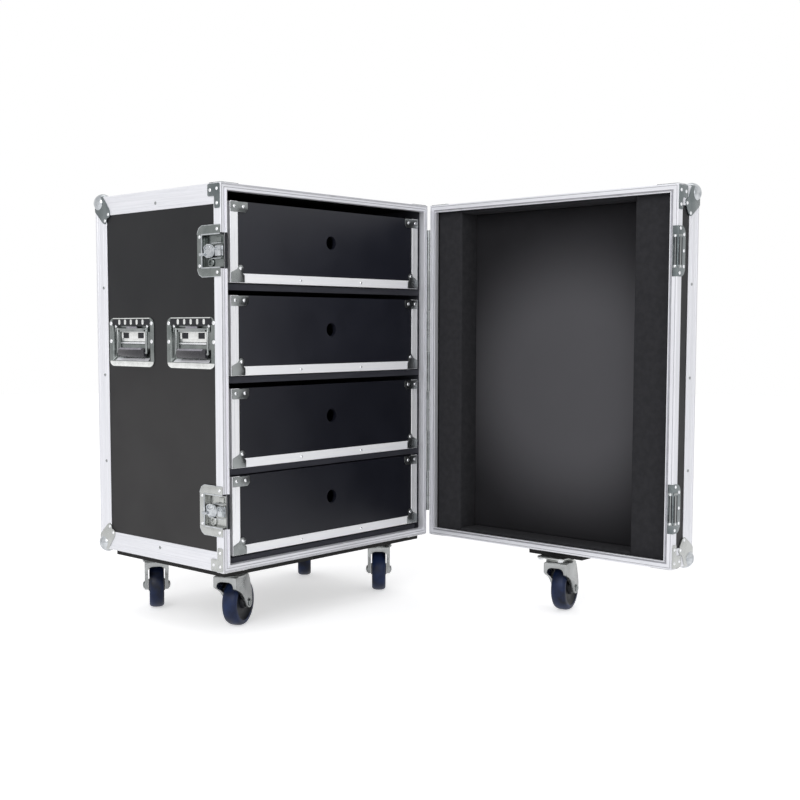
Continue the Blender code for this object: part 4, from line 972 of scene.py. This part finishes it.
castor = {
    "plate": (0.09, 0.066, 0.003), "axle": -0.078, "trail": 0.033,
    "spots": {"front_left": (-0.227, -0.129, 23), "front_right": (0.233, -0.131, 42),
        "rear_left": (-0.233, 0.116, 53), "rear_right": (0.233, 0.121, 45), "door": (0.359, -0.5545, 13)},
    "ring": ((0, -0.0124), (0.0292, -0.0124), (0.0305, -0.014), (0.0305, -0.0168), (0.0288, -0.0184), (0, -0.0184)),
    "leg": ((-0.03, -0.0145), (0.03, -0.0145), (0.037, -0.026), (0.0455, -0.05), (0.049, -0.07), (0.048, -0.082),
        (0.042, -0.0885), (0.035, -0.0905), (0.0275, -0.087), (0.021, -0.078), (0.012, -0.066), (0.001, -0.055),
        (-0.012, -0.047), (-0.024, -0.042), (-0.03, -0.037)),
    "web": ((0.0262, -0.0145), (0.0262, -0.038), (0.0195, -0.038), (0.0188, -0.033), (0.016, -0.0278),
        (0.0095, -0.025)),
    "core": ((0.0058, -0.0184), (0.013, -0.0184), (0.0142, -0.015), (0.015, -0.0105), (0.03, -0.0095),
        (0.0355, -0.0125), (0.0392, -0.015)),
    "tyre": ((0.0386, -0.016), (0.044, -0.0162), (0.0468, -0.0146), (0.0488, -0.0112), (0.0498, -0.0065)),
    "tread": (0.05, 0), "block": ((-0.03, -0.0258, -0.0232), (0.03, 0.0258, -0.0144)),
    "boss": ((0, 0), (0.0105, 0), (0.01, 0.001), (0, 0.001)), "legIn": 0.019, "legThick": 0.0072, "bossIn": 0.0259,
    "webX": -0.028, "webThick": 0.0028, "boltInset": 0.008,
    "bolt": ((0.0082, 20), (0.0062, 0.0006), (0.0032, 10, 0.0004), (0.0005, -0.0006, -0.004),
        (-0.0008, -0.0046, -0.0052)),
    "nut": ((0.009, 24), (0.0076, 0.0008), (0.004, 14, 0.0006), (0.0006, 0.001, 0.0034), (0.0014, 0.0038, 0.0048))
}


def addFixing(bm, place, washer, head, stud, lows, highs):
    # A washer, a hexagonal head and the rounded end of its screw, each from its low to its high
    addTurned(bm, rectangle(0, lows[0], washer[0], highs[0]), place, washer[1])
    for low, high, (radius, sides, edge) in zip(lows[1:], highs[1:], ((head[0], 6, head[1]), stud)):
        addRod(bm, (0, 0, low), (0, 0, high), radius, place, sides, edge)


def makeCastor(name):
    x, y, heading = castor["spots"][name]
    still = Matrix.Translation((x, y, 0))
    turned = still @ Matrix.Rotation(math.radians(heading), 4, "Z")
    carrier, forkBody, wheelBody = "door" if name == "door" else "case_body", f"fork_{name}", f"wheel_{name}"
    halfX, halfY, under = castor["plate"][0] / 2, castor["plate"][1] / 2, -0.0003 - castor["plate"][2]
    plate, bolts, fork, nuts, core, tyre = meshes(6)
    addPlate(plate, rectangle(-halfX, -halfY, halfX, halfY), under, -0.0003, still, 0.008, 0.0006)
    addTurned(plate, ((0, under + 0.0004), (0.032, under + 0.0004), (0.0315, under - 0.0015), (0.0275, under - 0.0035),
                      (0.03, under - 0.0048), (0.031, under - 0.007), (0.0285, -0.012), (0, -0.012)), still, 40)
    for sx in (-1, 1):
        for sy in (-1, 1):
            inset = castor["boltInset"]
            addFixing(bolts, shifted(still, sx * (halfX - inset), sy * (halfY - inset), under), *castor["bolt"])
    finishZinc(carrier, (f"castorPlate_{name}", plate, zinc, f"castor_plate_{name}"),
               (f"castorBolts_{name}", bolts, rivetSteel))

    addTurned(fork, castor["ring"], turned, 40)
    addBlock(fork, *castor["block"], turned, 0.004)
    # A web across the front, open below as an arch over the wheel
    web = turned @ faceFrame((castor["webX"], 0, 0), (0, -1, 0), (0, 0, 1), (-1, 0, 0))
    arch = (*castor["web"], *((-a, b) for a, b in reversed(castor["web"])))
    addPlate(fork, arch, 0, castor["webThick"], web, 0.0014, 0.0006)
    for way in (-1, 1):
        side, boss = (turned @ faceFrame(spot, (1, 0, 0), (0, 0, 1), (0, way, 0)) for spot in (
            (0, way * castor["legIn"], 0), (castor["trail"], way * castor["bossIn"], castor["axle"])))
        addPlate(fork, castor["leg"], 0, castor["legThick"], side, 0.003, 0.0009)
        addTurned(fork, castor["boss"], boss, 28)
        addFixing(nuts, boss, *castor["nut"])
    finishZinc(forkBody, (f"castorFork_{name}", fork, forkZinc, f"castor_fork_{name}"),
               (f"castorNuts_{name}", nuts, midZinc))

    hub = turned @ faceFrame((castor["trail"], 0, castor["axle"]), (1, 0, 0), (0, 0, 1), (0, -1, 0))
    addTurned(core, (*castor["core"], *mirrored(castor["core"])), hub, 56)
    addTurned(tyre, (*castor["tyre"], castor["tread"], *mirrored(castor["tyre"])), hub, 64)
    finishPiece(f"castorCore_{name}", core, blackHub, wheelBody, "wheel", f"castor_wheel_{name}")
    finishPiece(f"castorTyre_{name}", tyre, blueTyre, wheelBody, "wheel")


for name in castor["spots"]:
    makeCastor(name)
print("castors made")


# Sill on the bottom panel, behind the lower run of the front frame

sill = {"low": (-0.287, -0.1964, 0.0237), "high": (0.287, -0.19, 0.0375), "edge": 0.0006}
sillStrip = bmesh.new()
addBlock(sillStrip, sill["low"], sill["high"], bodyPlace, sill["edge"])
finishPiece("bodySill", sillStrip, shelfPly, "case_body", "board")
print("sill made")


# Finishes of the frame's own parts

refinish(laminate, "left_panel", "right_panel", "top_panel", "back_panel", "door_shell")
refinish(blackBoard, "base_board", "door_castor_board")
refinish(shelfPly, "bottom_panel", "shelf_1", "shelf_2", "shelf_3", "slide_carrier_left", "slide_carrier_right")
# The two lowest drawers take the painted-shade copy of the drawer board
refinish(shadedFrontBoard, "drawer_box_1", "drawer_box_2")
refinish(frontBoard, "drawer_box_3", "drawer_box_4")
refinish(midZinc, "hinge_body_leaf", "hinge_door_leaf")
